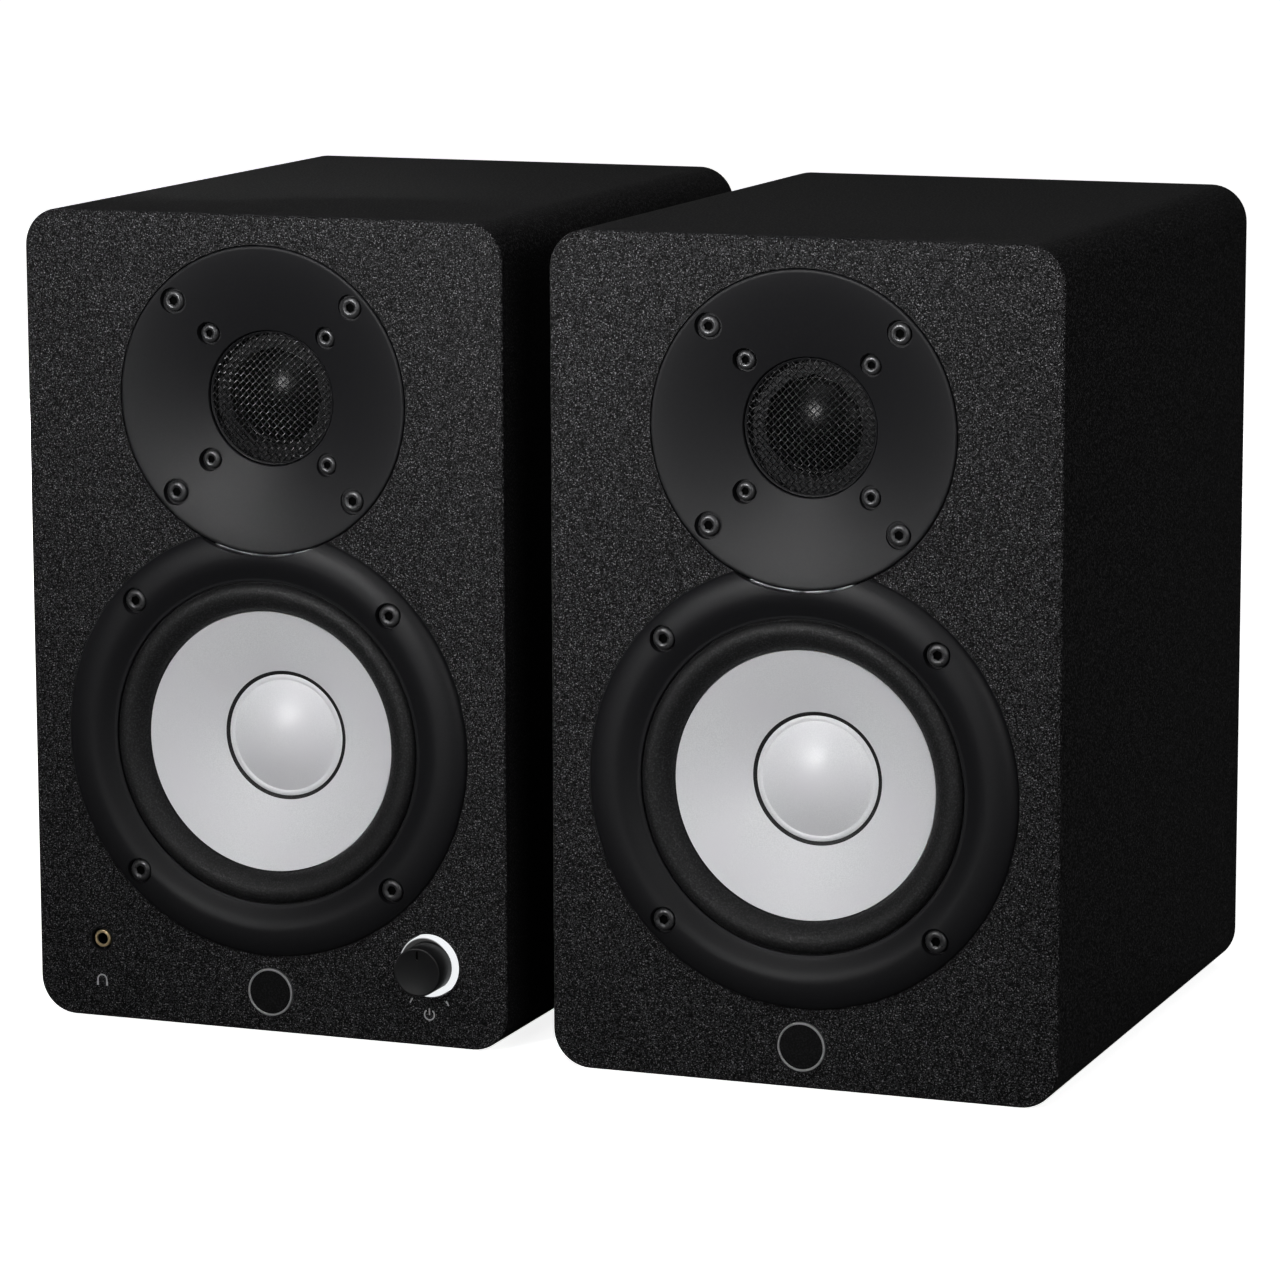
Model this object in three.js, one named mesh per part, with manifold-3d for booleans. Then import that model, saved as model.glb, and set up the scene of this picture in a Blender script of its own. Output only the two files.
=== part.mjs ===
// A pair of two-way desktop speakers. The left one holds the amplifier, the volume knob and the
// sockets; the right one is passive. Millimetres, +Z up, fronts facing -Y, and the origin on the
// desk under the middle of the pair's box.
import * as THREE from 'three';
import { mergeVertices } from 'three/addons/utils/BufferGeometryUtils.js';
import Module from 'manifold-3d';

const wasm = await Module();
wasm.setup();

// ---- Driving sizes -------------------------------------------------------------------------
// In each speaker's own frame x is 0 on its centre line, y is 0 on its front face and grows
// towards the back, and z is 0 on the desk.

const gap = 0.3; // between pieces that fit inside each other

const pair = { gap: 17.5, rightForward: 8 };

const cabinet = {
  width: 150,
  height: 240,
  depth: 192,
  corner: 11, // radius of the four long edges
  wall: 9,
  innerCorner: 3,
  baffle: 12, // thickness of the front board
  back: 12, // thickness of the back board
  chamfer: 0.8, // along the edge of the front face
};

const woofer = {
  z: 86.2,
  surroundRadius: 47.6,
  ringWidth: 15.7,
  ringProud: 3.5,
  ringShoulder: 7.8, // from the ring's outer edge to its crest
  screwInset: 6.4, // from the ring's outer edge to its screws
  screwPocket: 3.9,
  pocketFloor: -1,
  flangeInset: 2.7, // from the ring's outer edge to the edge of the basket's flange
  flange: 2, // thickness of the basket's flange
  lip: 4, // how far the surround reaches under the ring
  rubber: 0.8, // thickness of the surround
  rollWidth: 9.2,
  roll: 3.4, // how far the surround's roll stands out
  coneY: 2.4,
  neckRadius: 18.9,
  neckY: 13.5,
  capInset: 0.9, // from the cone's neck to the dust cap's edge
  capRim: 1.9, // width of the flat rim round its dome
  capEdge: 0.4, // thickness of that rim
  domeHeight: 5,
  skin: 0.6, // thickness of the cone and the dust cap
  coilRadius: 15.9,
  coilWall: 0.45,
  winding: 0.4,
  spiderRadius: 36,
  spiderY: 24,
  basketEnd: 35.6,
  basketWall: 1.6,
  airGap: 0.8, // each side of the coil's wall
  plateRadius: 36,
  plate: 4,
  magnetRadius: 40,
  magnetBore: 22,
  magnet: 15,
  yokeRadius: 38,
  yoke: 5,
};
woofer.ringRadius = woofer.surroundRadius + woofer.ringWidth;
woofer.crestRadius = woofer.ringRadius - woofer.ringShoulder;
woofer.screwCircle = woofer.ringRadius - woofer.screwInset;
woofer.flangeRadius = woofer.ringRadius - woofer.flangeInset;
woofer.coneRadius = woofer.surroundRadius - woofer.rollWidth;
woofer.capRadius = woofer.neckRadius - woofer.capInset;
woofer.domeRadius = woofer.capRadius - woofer.capRim;

const tweeter = {
  cover: 7.7, // how far the waveguide covers the woofer's ring
  guideRadius: 44.7,
  guideProud: 0.4,
  guidePlate: 2.6, // how far its rim is let into the front board
  screwInset: 5.3, // from the waveguide's edge to its outer screws
  outerPocket: 3.9,
  throatRadius: 19.7,
  throatY: 6.2,
  flare: 1.3, // power of the dish's curve
  collar: 11.8, // width of the collar round the throat
  hub: 4.9, // how far the hub reaches past the collar
  collarY: 9.7,
  innerInset: 6.3, // from the throat to the inner screws
  innerPocket: 3.4,
  grilleY: 7.2,
  grilleHeight: 4.6,
  grilleSkin: 0.6,
  domeRadius: 12.7,
  domeY: 12.4,
  domeHeight: 3.6,
  domeSkin: 0.4,
  domeFlange: 1.6,
  coilLength: 6.6,
  coilOut: 0.2, // how far the coil's outside and inside are from the dome's edge
  coilIn: 0.4,
  frontPlate: 3, // of the motor
  frontPlateInset: 0.5, // from the collar's edge
  motorRadius: 27,
  motorDepth: 18.3,
  slotReach: 0.8, // of the slot that the coil moves in, to each side of the dome's edge
  slotSpare: 4, // behind the coil
  seat: 1, // from the dome's flange to the plate behind it
  pole: 2, // from that plate to the pole's face
};
tweeter.z = woofer.z + woofer.ringRadius + tweeter.guideRadius - tweeter.cover;
tweeter.outerScrews = tweeter.guideRadius - tweeter.screwInset;
tweeter.innerScrews = tweeter.throatRadius + tweeter.innerInset;
tweeter.collarRadius = tweeter.throatRadius + tweeter.collar;
tweeter.hubRadius = tweeter.collarRadius + tweeter.hub;
tweeter.flangeRadius = tweeter.domeRadius + tweeter.domeFlange;

const badge = { z: 11.9, radius: 7.1, thickness: 1.2, proud: 0.3 };
const port = { belowTop: 37, bore: 14, wall: 2, length: 80, mouth: 21, flange: 24, lip: 0.9 };
port.collar = { length: 2, taper: 6 }; // where its outside widens to the mouth
port.z = cabinet.height - port.belowTop;

const knob = { x: 50.6, z: 23.9, radius: 7.2, proud: 9, skirt: 1.5, boreEnd: -3, travel: 0.8 };
const lightRing = { inner: knob.radius + 0.5, width: 1.4, proud: 0.6, length: 8 };
lightRing.outer = lightRing.inner + lightRing.width;
const encoder = { seat: 1.1, depth: 8, shaft: 3 };
const phones = { x: -54.8, z: 23.5, recess: 3.65, recessDepth: 2.5, nose: 2.6, hole: 1.75 };
phones.body = { width: 12, height: 9, depth: 14 };

const panel = { z: 90, width: 122, height: 152, corner: 5, plate: 2, windowEdge: 8 };
const combo = { x: 26, z: 142, barrel: 11.8, depth: 28, mouth: 9.6, mouthDepth: 18, plug: 3.3 };
combo.flange = { width: 26, height: 31, corner: 4, thickness: 2 };
const phono = { x: 26, z: 108, width: 29.4, height: 12.4, depth: 12, pitch: 15, sleeve: 4.15 };
phono.sleeveLength = 9;
phono.hole = 1.7;
const miniJack = { x: -26, z: 108, body: 10, depth: 12, nose: 3.9, noseLength: 2, hole: 1.8 };
const slider = { x: 26, z: 88, width: 5.4, height: 4.2, proud: 2.5, depth: 4, travel: 3 };
const inlet = { x: 30, z: 46, width: 26.4, height: 19.4, depth: 18, border: 2.3, flange: 2 };
inlet.socket = { width: 15, height: 8.6, depth: 14 };
inlet.pin = { radius: 1.2, spacing: 8.6, short: 4 };
const speakerOut = { x: -26, z: 50, flangeWidth: 44, flangeHeight: 34 };
const speakerIn = { x: 0, z: 70, flangeWidth: 64, flangeHeight: 64 };
const speakerPlate = { z: speakerIn.z, width: speakerIn.flangeWidth, height: speakerIn.flangeHeight };

const terminal = {
  width: 38,
  height: 26,
  housing: 8, // how far it stands out of its flange
  flange: 2,
  inner: 12, // how far it reaches in through the panel
  pitch: 18,
  wireHole: 5,
  wireZ: -6,
  wireDepth: 20,
  leverZ: 5,
  leverWidth: 12,
  pivotInset: 2.5,
  barrel: 1.7,
  leverReach: 11,
  slotDepth: 5.5,
  slotBelow: 3.2,
  slotAbove: 2.6,
};

// What sits on a board has its place from the board's middle, or from its front edge along y.
const sunk = 0.5; // how far a board's parts reach into it, so that they are one solid
const mainBoard = { width: 104, height: 132, thickness: 1.6, fromBack: 32 };
mainBoard.heatSink = { width: 64, height: 24, depth: 20, z: 36 };
mainBoard.capacitors = { radius: 8, depth: 26, x: [-30, -10], z: -30 };
mainBoard.choke = { size: 22, depth: 16, x: 28, z: -30 };
const supplyBoard = { width: 100, length: 70, thickness: 1.6, standoff: 6, fromBack: 112 };
supplyBoard.transformer = { width: 36, height: 28, from: 18, length: 32, x: 14 };
supplyBoard.coil = { width: 18, height: 20, from: 40, length: 20, x: -30 };
const crossover = { size: 60, thickness: 1.6, fromBack: 24, partDepth: 14 };
crossover.coil = { inner: 5, outer: 13, x: -12, z: 10 };
crossover.capacitor = { width: 26, height: 14, x: 10, z: -16 };

const facets = { large: 32, medium: 18, small: 12, tiny: 8 };

// ---- Finishes ------------------------------------------------------------------------------

function finish(color, roughness, metalness = 0) {
  return new THREE.MeshStandardMaterial({ color, roughness, metalness });
}

const finishes = {
  film: finish(0x141415, 0.55),
  front: finish(0x1c1c1d, 0.7),
  moulded: finish(0x1a1a1b, 0.5),
  rubber: finish(0x0f0f10, 0.8),
  cone: finish(0xc9cbd0, 0.45),
  spider: finish(0xb58a45, 0.9),
  copper: finish(0xb06a3a, 0.4, 1),
  steel: finish(0x8c8f94, 0.4, 1),
  ferrite: finish(0x2b2b2d, 0.7),
  mesh: finish(0x101010, 0.45, 0.6),
  silk: finish(0x222224, 0.7),
  badge: finish(0x6e7074, 0.35, 0.8),
  panel: finish(0x151515, 0.55, 0.3),
  brass: finish(0xb8924a, 0.3, 1),
  light: finish(0xffffff, 0.3),
  red: finish(0xa01818, 0.45),
  black: finish(0x121212, 0.45),
  board: finish(0x1f5a34, 0.6),
};

// ---- Solids --------------------------------------------------------------------------------

// A closed solid of a three.js geometry, with its faces turned outwards.
function solidOf(geometry) {
  geometry.deleteAttribute('normal');
  geometry.deleteAttribute('uv');
  const merged = mergeVertices(geometry, 1e-4);
  const xyz = merged.attributes.position.array;
  const corners = merged.index.array;
  const triangles = [];
  let volume = 0;
  for (let i = 0; i < corners.length; i += 3) {
    const [a, b, c] = [corners[i], corners[i + 1], corners[i + 2]];
    if (a === b || b === c || c === a) continue; // a lathe's flat triangles on its axis
    triangles.push(a, b, c);
    const [p, q, r] = [a, b, c].map((v) => new THREE.Vector3().fromArray(xyz, 3 * v));
    volume += p.dot(q.cross(r));
  }
  if (volume < 0) triangles.reverse();
  return new wasm.Manifold(
    new wasm.Mesh({
      numProp: 3,
      vertProperties: Float32Array.from(xyz),
      triVerts: Uint32Array.from(triangles),
    }),
  );
}

// Stands a drawing in the X-Y plane up in the X-Z plane, with its depth running towards -Y.
const STAND_UP = new THREE.Matrix4().set(1, 0, 0, 0, 0, 0, -1, 0, 0, 1, 0, 0, 0, 0, 0, 1);

// A drawing of the front, seen from the front, made solid between two depths.
function slab(outline, front, back) {
  const geometry = new THREE.ExtrudeGeometry(new THREE.Shape(outline), {
    depth: back - front,
    bevelEnabled: false,
  });
  return solidOf(geometry.applyMatrix4(STAND_UP).translate(0, back, 0));
}

// A profile of [radius, y] points turned about the line through x and z along Y.
function turned(profile, sides, x = 0, z = 0) {
  const points = profile.map(([radius, y]) => new THREE.Vector2(radius, y));
  points.push(points[0].clone());
  return solidOf(new THREE.LatheGeometry(points, sides).translate(x, 0, z));
}

function disc(radius, front, back, sides, x = 0, z = 0) {
  return turned([[0, front], [radius, front], [radius, back], [0, back]], sides, x, z);
}

function tube(inner, outer, front, back, sides, x = 0, z = 0) {
  const profile = [[inner, front], [outer, front], [outer, back], [inner, back]];
  return turned(profile, sides, x, z);
}

function block(width, height, front, back, x = 0, z = 0) {
  const geometry = new THREE.BoxGeometry(width, back - front, height);
  return solidOf(geometry.translate(x, (front + back) / 2, z));
}

// The points of a rectangle with round corners, round the middle at x and z.
function roundedRectangle(width, height, radius, x = 0, z = 0, steps = 4) {
  const points = [];
  const cx = width / 2 - radius;
  const cz = height / 2 - radius;
  [[cx, cz], [-cx, cz], [-cx, -cz], [cx, -cz]].forEach(([px, pz], quarter) => {
    for (let step = 0; step <= steps; step += 1) {
      const angle = ((quarter + step / steps) * Math.PI) / 2;
      points.push(
        new THREE.Vector2(x + px + radius * Math.cos(angle), z + pz + radius * Math.sin(angle)),
      );
    }
  });
  return points;
}

// A solid that runs through outlines of the same number of points, each [points, y].
function loft(sections) {
  const count = sections[0][0].length;
  const vertices = sections.flatMap(([points, y]) => points.flatMap((p) => [p.x, y, p.y]));
  const cap = THREE.ShapeUtils.triangulateShape(sections[0][0], []);
  const last = (sections.length - 1) * count;
  const index = [];
  for (let row = 0; row < last; row += count) {
    for (let i = 0; i < count; i += 1) {
      const j = (i + 1) % count;
      index.push(row + i, row + j, row + count + j, row + i, row + count + j, row + count + i);
    }
  }
  cap.forEach(([a, b, c]) => index.push(a, c, b, last + a, last + b, last + c));
  const geometry = new THREE.BufferGeometry();
  geometry.setAttribute('position', new THREE.Float32BufferAttribute(vertices, 3));
  geometry.setIndex(index);
  return solidOf(geometry);
}

const all = (solids) => solids.reduce((sum, solid) => sum.add(solid));

// The points of a curve between two radii, with y given by a rule.
function sweep(from, to, steps, rule) {
  return Array.from({ length: steps + 1 }, (_, i) => {
    const radius = from + ((to - from) * i) / steps;
    return [radius, rule(radius)];
  });
}

// Four places at 45 degrees on a circle.
function diagonal(circle, z) {
  const reach = circle * Math.SQRT1_2;
  return [[-reach, z - reach], [reach, z - reach], [-reach, z + reach], [reach, z + reach]];
}

function piece(name, solid, material) {
  const { vertProperties, triVerts, numProp } = solid.getMesh();
  const xyz = new Float32Array((vertProperties.length / numProp) * 3);
  for (let i = 0; i < xyz.length; i += 1) {
    xyz[i] = vertProperties[Math.floor(i / 3) * numProp + (i % 3)];
  }
  const geometry = new THREE.BufferGeometry();
  geometry.setAttribute('position', new THREE.BufferAttribute(xyz, 3));
  geometry.setIndex(new THREE.BufferAttribute(triVerts, 1));
  geometry.computeVertexNormals();
  const mesh = new THREE.Mesh(geometry, material);
  mesh.name = name;
  return mesh;
}

// ---- Cabinet -------------------------------------------------------------------------------

const middle = cabinet.height / 2;

function cabinetOutline(inset = 0) {
  const { width, height, corner } = cabinet;
  return roundedRectangle(width - 2 * inset, height - 2 * inset, corner - inset, 0, middle);
}

function cavityOutline(inset) {
  const width = cabinet.width - 2 * (cabinet.wall + inset);
  const height = cabinet.height - 2 * (cabinet.wall + inset);
  return roundedRectangle(width, height, cabinet.innerCorner, 0, middle, 2);
}

function cabinetShell() {
  const outside = slab(cabinetOutline(), cabinet.baffle, cabinet.depth);
  const inside = slab(cavityOutline(0), cabinet.baffle - 1, cabinet.depth + 1);
  return outside.subtract(inside);
}

function frontBaffle(powered) {
  const board = loft([
    [cabinetOutline(cabinet.chamfer), 0],
    [cabinetOutline(), cabinet.chamfer],
    [cabinetOutline(), cabinet.baffle],
  ]);
  const past = cabinet.baffle + 1;
  const cuts = [
    disc(woofer.flangeRadius + gap, -1, woofer.flange, facets.large, 0, woofer.z),
    disc(basketThroat() + gap, -1, past, facets.large, 0, woofer.z),
    disc(tweeter.guideRadius + gap, -1, tweeter.guidePlate, facets.large, 0, tweeter.z),
    disc(tweeter.hubRadius + gap, -1, past, facets.large, 0, tweeter.z),
    disc(badge.radius + gap, -1, badge.thickness - badge.proud, facets.medium, 0, badge.z),
  ];
  if (powered) {
    cuts.push(
      disc(lightRing.outer + gap, -1, past, facets.medium, knob.x, knob.z),
      disc(phones.recess, -1, phones.recessDepth, facets.small, phones.x, phones.z),
      disc(phones.nose + gap, -1, past, facets.small, phones.x, phones.z),
    );
  }
  return board.subtract(all(cuts));
}

function backBoard(powered) {
  const board = slab(cavityOutline(gap), cabinet.depth - cabinet.back, cabinet.depth);
  const { z, width, height } = powered ? panel : speakerPlate;
  const edge = 2 * panel.windowEdge;
  const [front, back] = [cabinet.depth - cabinet.back - 1, cabinet.depth + 1];
  const window = block(width - edge, height - edge, front, back, 0, z);
  const portHole = disc(port.mouth + gap, front, back, facets.medium, 0, port.z);
  return board.subtract(window.add(portHole));
}

function portTube() {
  const end = cabinet.depth;
  const { bore, wall, length, mouth, flange, lip, collar } = port;
  const flareFrom = end - cabinet.back;
  const flareLength = end + lip - flareFrom;
  const flare = [0, 0.5, 0.8, 1].map((share) => {
    return [bore + (mouth - bore) * share ** 3, flareFrom + share * flareLength];
  });
  const outside = [
    [flange, end + lip],
    [flange, end],
    [mouth, end],
    [mouth, end - collar.length],
    [bore + wall, end - collar.length - collar.taper],
    [bore + wall, end - length],
    [bore, end - length],
  ];
  return turned([...flare, ...outside], facets.medium, 0, port.z);
}

// ---- Woofer --------------------------------------------------------------------------------

// The outer radius of the basket where it goes through the front board.
function basketThroat() {
  return woofer.surroundRadius + woofer.basketWall;
}

// Everything of the woofer that meets the tweeter's round plate is cut off along it.
function guideClearance() {
  return disc(tweeter.guideRadius + gap, -20, tweeter.guidePlate, facets.large, 0, tweeter.z);
}

function wooferRing() {
  const { ringRadius, ringProud, crestRadius, surroundRadius } = woofer;
  const outer = (r) => {
    const share = (r - crestRadius) / (ringRadius - crestRadius);
    return -ringProud * Math.sqrt(1 - share * share);
  };
  const inner = (r) => {
    const share = (crestRadius - r) / (crestRadius - surroundRadius);
    return -ringProud * Math.cos((share * Math.PI) / 2);
  };
  const roll = [
    ...sweep(ringRadius, crestRadius, 3, outer),
    ...sweep(crestRadius, surroundRadius, 3, inner).slice(1),
  ];
  const ring = turned(roll, facets.large, 0, woofer.z);
  const pockets = diagonal(woofer.screwCircle, woofer.z).map(([x, z]) =>
    disc(woofer.screwPocket, -20, woofer.pocketFloor, facets.tiny, x, z),
  );
  return ring.subtract(all([guideClearance(), ...pockets]));
}

function wooferBasket() {
  const { flangeRadius, flange, surroundRadius, lip, rubber } = woofer;
  const { spiderRadius, spiderY, basketEnd, basketWall } = woofer;
  const throat = basketThroat();
  const bore = gapRadius() + basketWall;
  const ledge = rubber + 0.2;
  const basket = turned(
    [
      [flangeRadius, 0],
      [flangeRadius, flange],
      [throat, flange],
      [spiderRadius + 2 * basketWall, spiderY + basketWall],
      [spiderRadius + basketWall, basketEnd],
      [bore, basketEnd],
      [bore, basketEnd - basketWall],
      [spiderRadius - 2, basketEnd - basketWall],
      [spiderRadius - 2, spiderY + basketWall],
      [spiderRadius + basketWall, spiderY + basketWall],
      [surroundRadius, flange],
      [surroundRadius, ledge],
      [surroundRadius + lip + gap, ledge],
      [surroundRadius + lip + gap, 0],
    ],
    facets.medium,
    0,
    woofer.z,
  );
  const windowDepth = [flange + 4, spiderY - 2];
  const windows = [
    block(2 * flangeRadius, spiderRadius, ...windowDepth, 0, woofer.z),
    block(spiderRadius, 2 * flangeRadius, ...windowDepth, 0, woofer.z),
  ];
  return basket.subtract(all([guideClearance(), ...windows]));
}

// A half roll of rubber, with a lip under the ring and an edge on the cone.
function wooferSurround() {
  const { surroundRadius, coneRadius, coneY, rubber, roll, lip } = woofer;
  const inner = coneRadius + gap;
  const outer = surroundRadius - gap;
  const centre = (outer + inner) / 2;
  const reach = (outer - inner) / 2;
  const arch = (offset) => (r) => {
    const base = (coneY * (outer - r)) / (outer - inner);
    return base + offset - roll * Math.sqrt(Math.max(0, 1 - ((r - centre) / reach) ** 2));
  };
  const front = sweep(inner, outer, 5, arch(0));
  const back = sweep(outer, inner, 5, arch(rubber));
  const edge = [
    [surroundRadius + lip, gap / 6],
    [surroundRadius + lip, rubber],
  ];
  return turned([...front, ...edge, ...back], facets.medium, 0, woofer.z);
}

function coneDepth(r) {
  const { coneRadius, coneY, neckRadius, neckY } = woofer;
  const share = (coneRadius - r) / (coneRadius - neckRadius);
  return coneY + (neckY - coneY) * (0.9 * share + 0.1 * share * share);
}

function wooferCone() {
  const { coneRadius, coilRadius, skin } = woofer;
  const neck = coilRadius + gap;
  const front = sweep(coneRadius, neck, 3, coneDepth);
  const back = sweep(neck, coneRadius, 3, (r) => coneDepth(r) + skin);
  return turned([...front, ...back], facets.medium, 0, woofer.z);
}

function wooferDustCap() {
  const { capRadius, capEdge, domeRadius, domeHeight, skin } = woofer;
  const slope = coneDepth(capRadius - 1) - coneDepth(capRadius);
  const rim = coneDepth(capRadius) - gap * Math.hypot(1, slope) - capEdge;
  const dome = (offset) => (r) => rim + offset - domeHeight * (1 - (r / domeRadius) ** 2);
  const front = sweep(0, domeRadius, 3, dome(0));
  const back = sweep(domeRadius, 0, 3, dome(skin));
  return turned(
    [...front, [capRadius, rim], [capRadius, rim + capEdge], ...back],
    facets.medium,
    0,
    woofer.z,
  );
}

function wooferSpider() {
  const { coilRadius, winding, spiderRadius, spiderY } = woofer;
  const inner = coilRadius + winding + gap;
  const wave = (offset) => (r) => spiderY + offset + 0.8 * Math.cos(((r - inner) * Math.PI) / 4);
  const outer = spiderRadius - gap;
  const front = sweep(inner, outer, 4, wave(0));
  const back = sweep(outer, inner, 4, wave(0.5));
  return turned([...front, ...back], facets.small, 0, woofer.z);
}

function wooferVoiceCoil() {
  const { coilRadius, coilWall, winding, neckY, basketEnd, plate } = woofer;
  const windingFrom = basketEnd - 3;
  const windingTo = basketEnd + plate + 3;
  return turned(
    [
      [coilRadius - coilWall, neckY + 1.5],
      [coilRadius, neckY + 1.5],
      [coilRadius, windingFrom],
      [coilRadius + winding, windingFrom],
      [coilRadius + winding, windingTo],
      [coilRadius - coilWall, windingTo],
    ],
    facets.medium,
    0,
    woofer.z,
  );
}

function gapRadius() {
  return woofer.coilRadius + woofer.winding + woofer.airGap;
}

function wooferMotor() {
  const { basketEnd, plate, plateRadius, magnet, magnetRadius, magnetBore, yoke, yokeRadius } = woofer;
  const pole = woofer.coilRadius - woofer.coilWall - woofer.airGap;
  const magnetY = basketEnd + plate;
  const yokeY = magnetY + magnet;
  return {
    topPlate: tube(gapRadius(), plateRadius, basketEnd, magnetY, facets.medium, 0, woofer.z),
    magnet: tube(magnetBore, magnetRadius, magnetY, yokeY, facets.medium, 0, woofer.z),
    yoke: turned(
      [
        [0, basketEnd],
        [pole, basketEnd],
        [pole, yokeY],
        [yokeRadius, yokeY],
        [yokeRadius, yokeY + yoke],
        [0, yokeY + yoke],
      ],
      facets.medium,
      0,
      woofer.z,
    ),
  };
}

// ---- Tweeter -------------------------------------------------------------------------------

function dishDepth(r) {
  const { guideRadius, guideProud, throatRadius, throatY, flare } = tweeter;
  const share = (guideRadius - r) / (guideRadius - throatRadius);
  return -guideProud + (throatY + guideProud) * share ** flare;
}

function tweeterWaveguide() {
  const { guideRadius, guidePlate, hubRadius, throatRadius, collarRadius, collarY } = tweeter;
  const dish = sweep(guideRadius, throatRadius, 5, dishDepth);
  const body = turned(
    [
      ...dish,
      [throatRadius, collarY],
      [collarRadius, collarY],
      [collarRadius, dishDepth(collarRadius) + guidePlate],
      [hubRadius, dishDepth(hubRadius) + guidePlate],
      [hubRadius, guidePlate],
      [guideRadius, guidePlate],
    ],
    facets.large,
    0,
    tweeter.z,
  );
  const pocket = (circle, radius, depth) =>
    diagonal(circle, tweeter.z).map(([x, z]) =>
      disc(radius, -5, dishDepth(circle) + depth, facets.tiny, x, z),
    );
  const pockets = [
    ...pocket(tweeter.outerScrews, tweeter.outerPocket, 1.2),
    ...pocket(tweeter.innerScrews, tweeter.innerPocket, 1.6),
  ];
  return body.subtract(all(pockets));
}

function tweeterGrille() {
  const { throatRadius, grilleY, grilleHeight, grilleSkin } = tweeter;
  const edge = throatRadius - gap;
  const dome = (offset) => (r) => grilleY + offset - grilleHeight * (1 - (r / edge) ** 2);
  const front = sweep(0, edge, 3, dome(0));
  const back = sweep(edge, 0, 3, dome(grilleSkin));
  return turned([...front, ...back], facets.medium, 0, tweeter.z);
}

// The dome with its flexible flange and the voice coil behind it.
function tweeterDome() {
  const { domeRadius, domeY, domeHeight, domeSkin, flangeRadius } = tweeter;
  const dome = (offset) => (r) => domeY + offset - domeHeight * (1 - (r / domeRadius) ** 2);
  const coilInner = domeRadius - tweeter.coilIn;
  const coilOuter = domeRadius + tweeter.coilOut;
  const coilEnd = domeY + tweeter.coilLength;
  return turned(
    [
      ...sweep(0, domeRadius, 3, dome(0)),
      [flangeRadius, domeY],
      [flangeRadius, domeY + domeSkin],
      [coilOuter, domeY + domeSkin],
      [coilOuter, coilEnd],
      [coilInner, coilEnd],
      ...sweep(coilInner, 0, 3, dome(domeSkin)),
    ],
    facets.small,
    0,
    tweeter.z,
  );
}

function tweeterMotor() {
  const { collarY, collarRadius, motorRadius, motorDepth, domeRadius, domeY } = tweeter;
  const plateRadius = collarRadius - tweeter.frontPlateInset;
  const plateEnd = collarY + tweeter.frontPlate;
  const bore = tweeter.flangeRadius + gap;
  const slotOuter = domeRadius + tweeter.slotReach;
  const slotInner = domeRadius - tweeter.slotReach;
  const seat = domeY + tweeter.seat;
  const pole = seat + tweeter.pole;
  const slotEnd = domeY + tweeter.coilLength + tweeter.slotSpare;
  return turned(
    [
      [bore, collarY],
      [plateRadius, collarY],
      [plateRadius, plateEnd],
      [motorRadius, plateEnd],
      [motorRadius, plateEnd + motorDepth],
      [0, plateEnd + motorDepth],
      [0, pole],
      [slotInner, pole],
      [slotInner, slotEnd],
      [slotOuter, slotEnd],
      [slotOuter, seat],
      [bore, seat],
    ],
    facets.small,
    0,
    tweeter.z,
  );
}

// ---- Front controls ------------------------------------------------------------------------

function frontBadge() {
  const { radius, thickness, proud, z } = badge;
  return disc(radius, -proud, thickness - proud, facets.medium, 0, z);
}

function volumeKnob() {
  const { radius, proud, skirt, boreEnd, x, z } = knob;
  const bore = encoder.shaft + gap / 3;
  return turned(
    [
      [0, -proud],
      [radius - 0.5, -proud],
      [radius, -proud + 0.5],
      [radius, skirt],
      [bore, skirt],
      [bore, boreEnd],
      [0, boreEnd],
    ],
    facets.medium,
    x,
    z,
  );
}

function volumeLightRing() {
  const { inner, outer, proud, length } = lightRing;
  return tube(inner, outer, -proud, length - proud, facets.medium, knob.x, knob.z);
}

function encoderShaft() {
  const back = cabinet.baffle + encoder.depth - 2 * knob.travel;
  return disc(encoder.shaft, knob.boreEnd + gap, back, facets.small, knob.x, knob.z);
}

// Its case is wider than the light ring's hole, and seats on the back of the front board.
function volumeEncoder() {
  const { seat, depth, shaft } = encoder;
  const front = cabinet.baffle;
  const size = 2 * (lightRing.outer + gap + seat);
  const bore = disc(shaft + gap, front - 1, front + depth + 1, facets.small, knob.x, knob.z);
  return block(size, size, front, front + depth, knob.x, knob.z).subtract(bore);
}

function headphoneJack() {
  const { x, z, nose, hole, recessDepth, body } = phones;
  const back = cabinet.baffle + body.depth;
  const noseFront = recessDepth - 1.9;
  const shape = disc(nose, noseFront, cabinet.baffle + 1, facets.small, x, z);
  const box = block(body.width, body.height, cabinet.baffle, back, x, z);
  const bore = disc(hole, noseFront - 1, back - 1, facets.tiny, x, z);
  return shape.add(box).subtract(bore);
}

// ---- Back of the powered speaker -----------------------------------------------------------

const panelFace = cabinet.depth + panel.plate;

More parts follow.
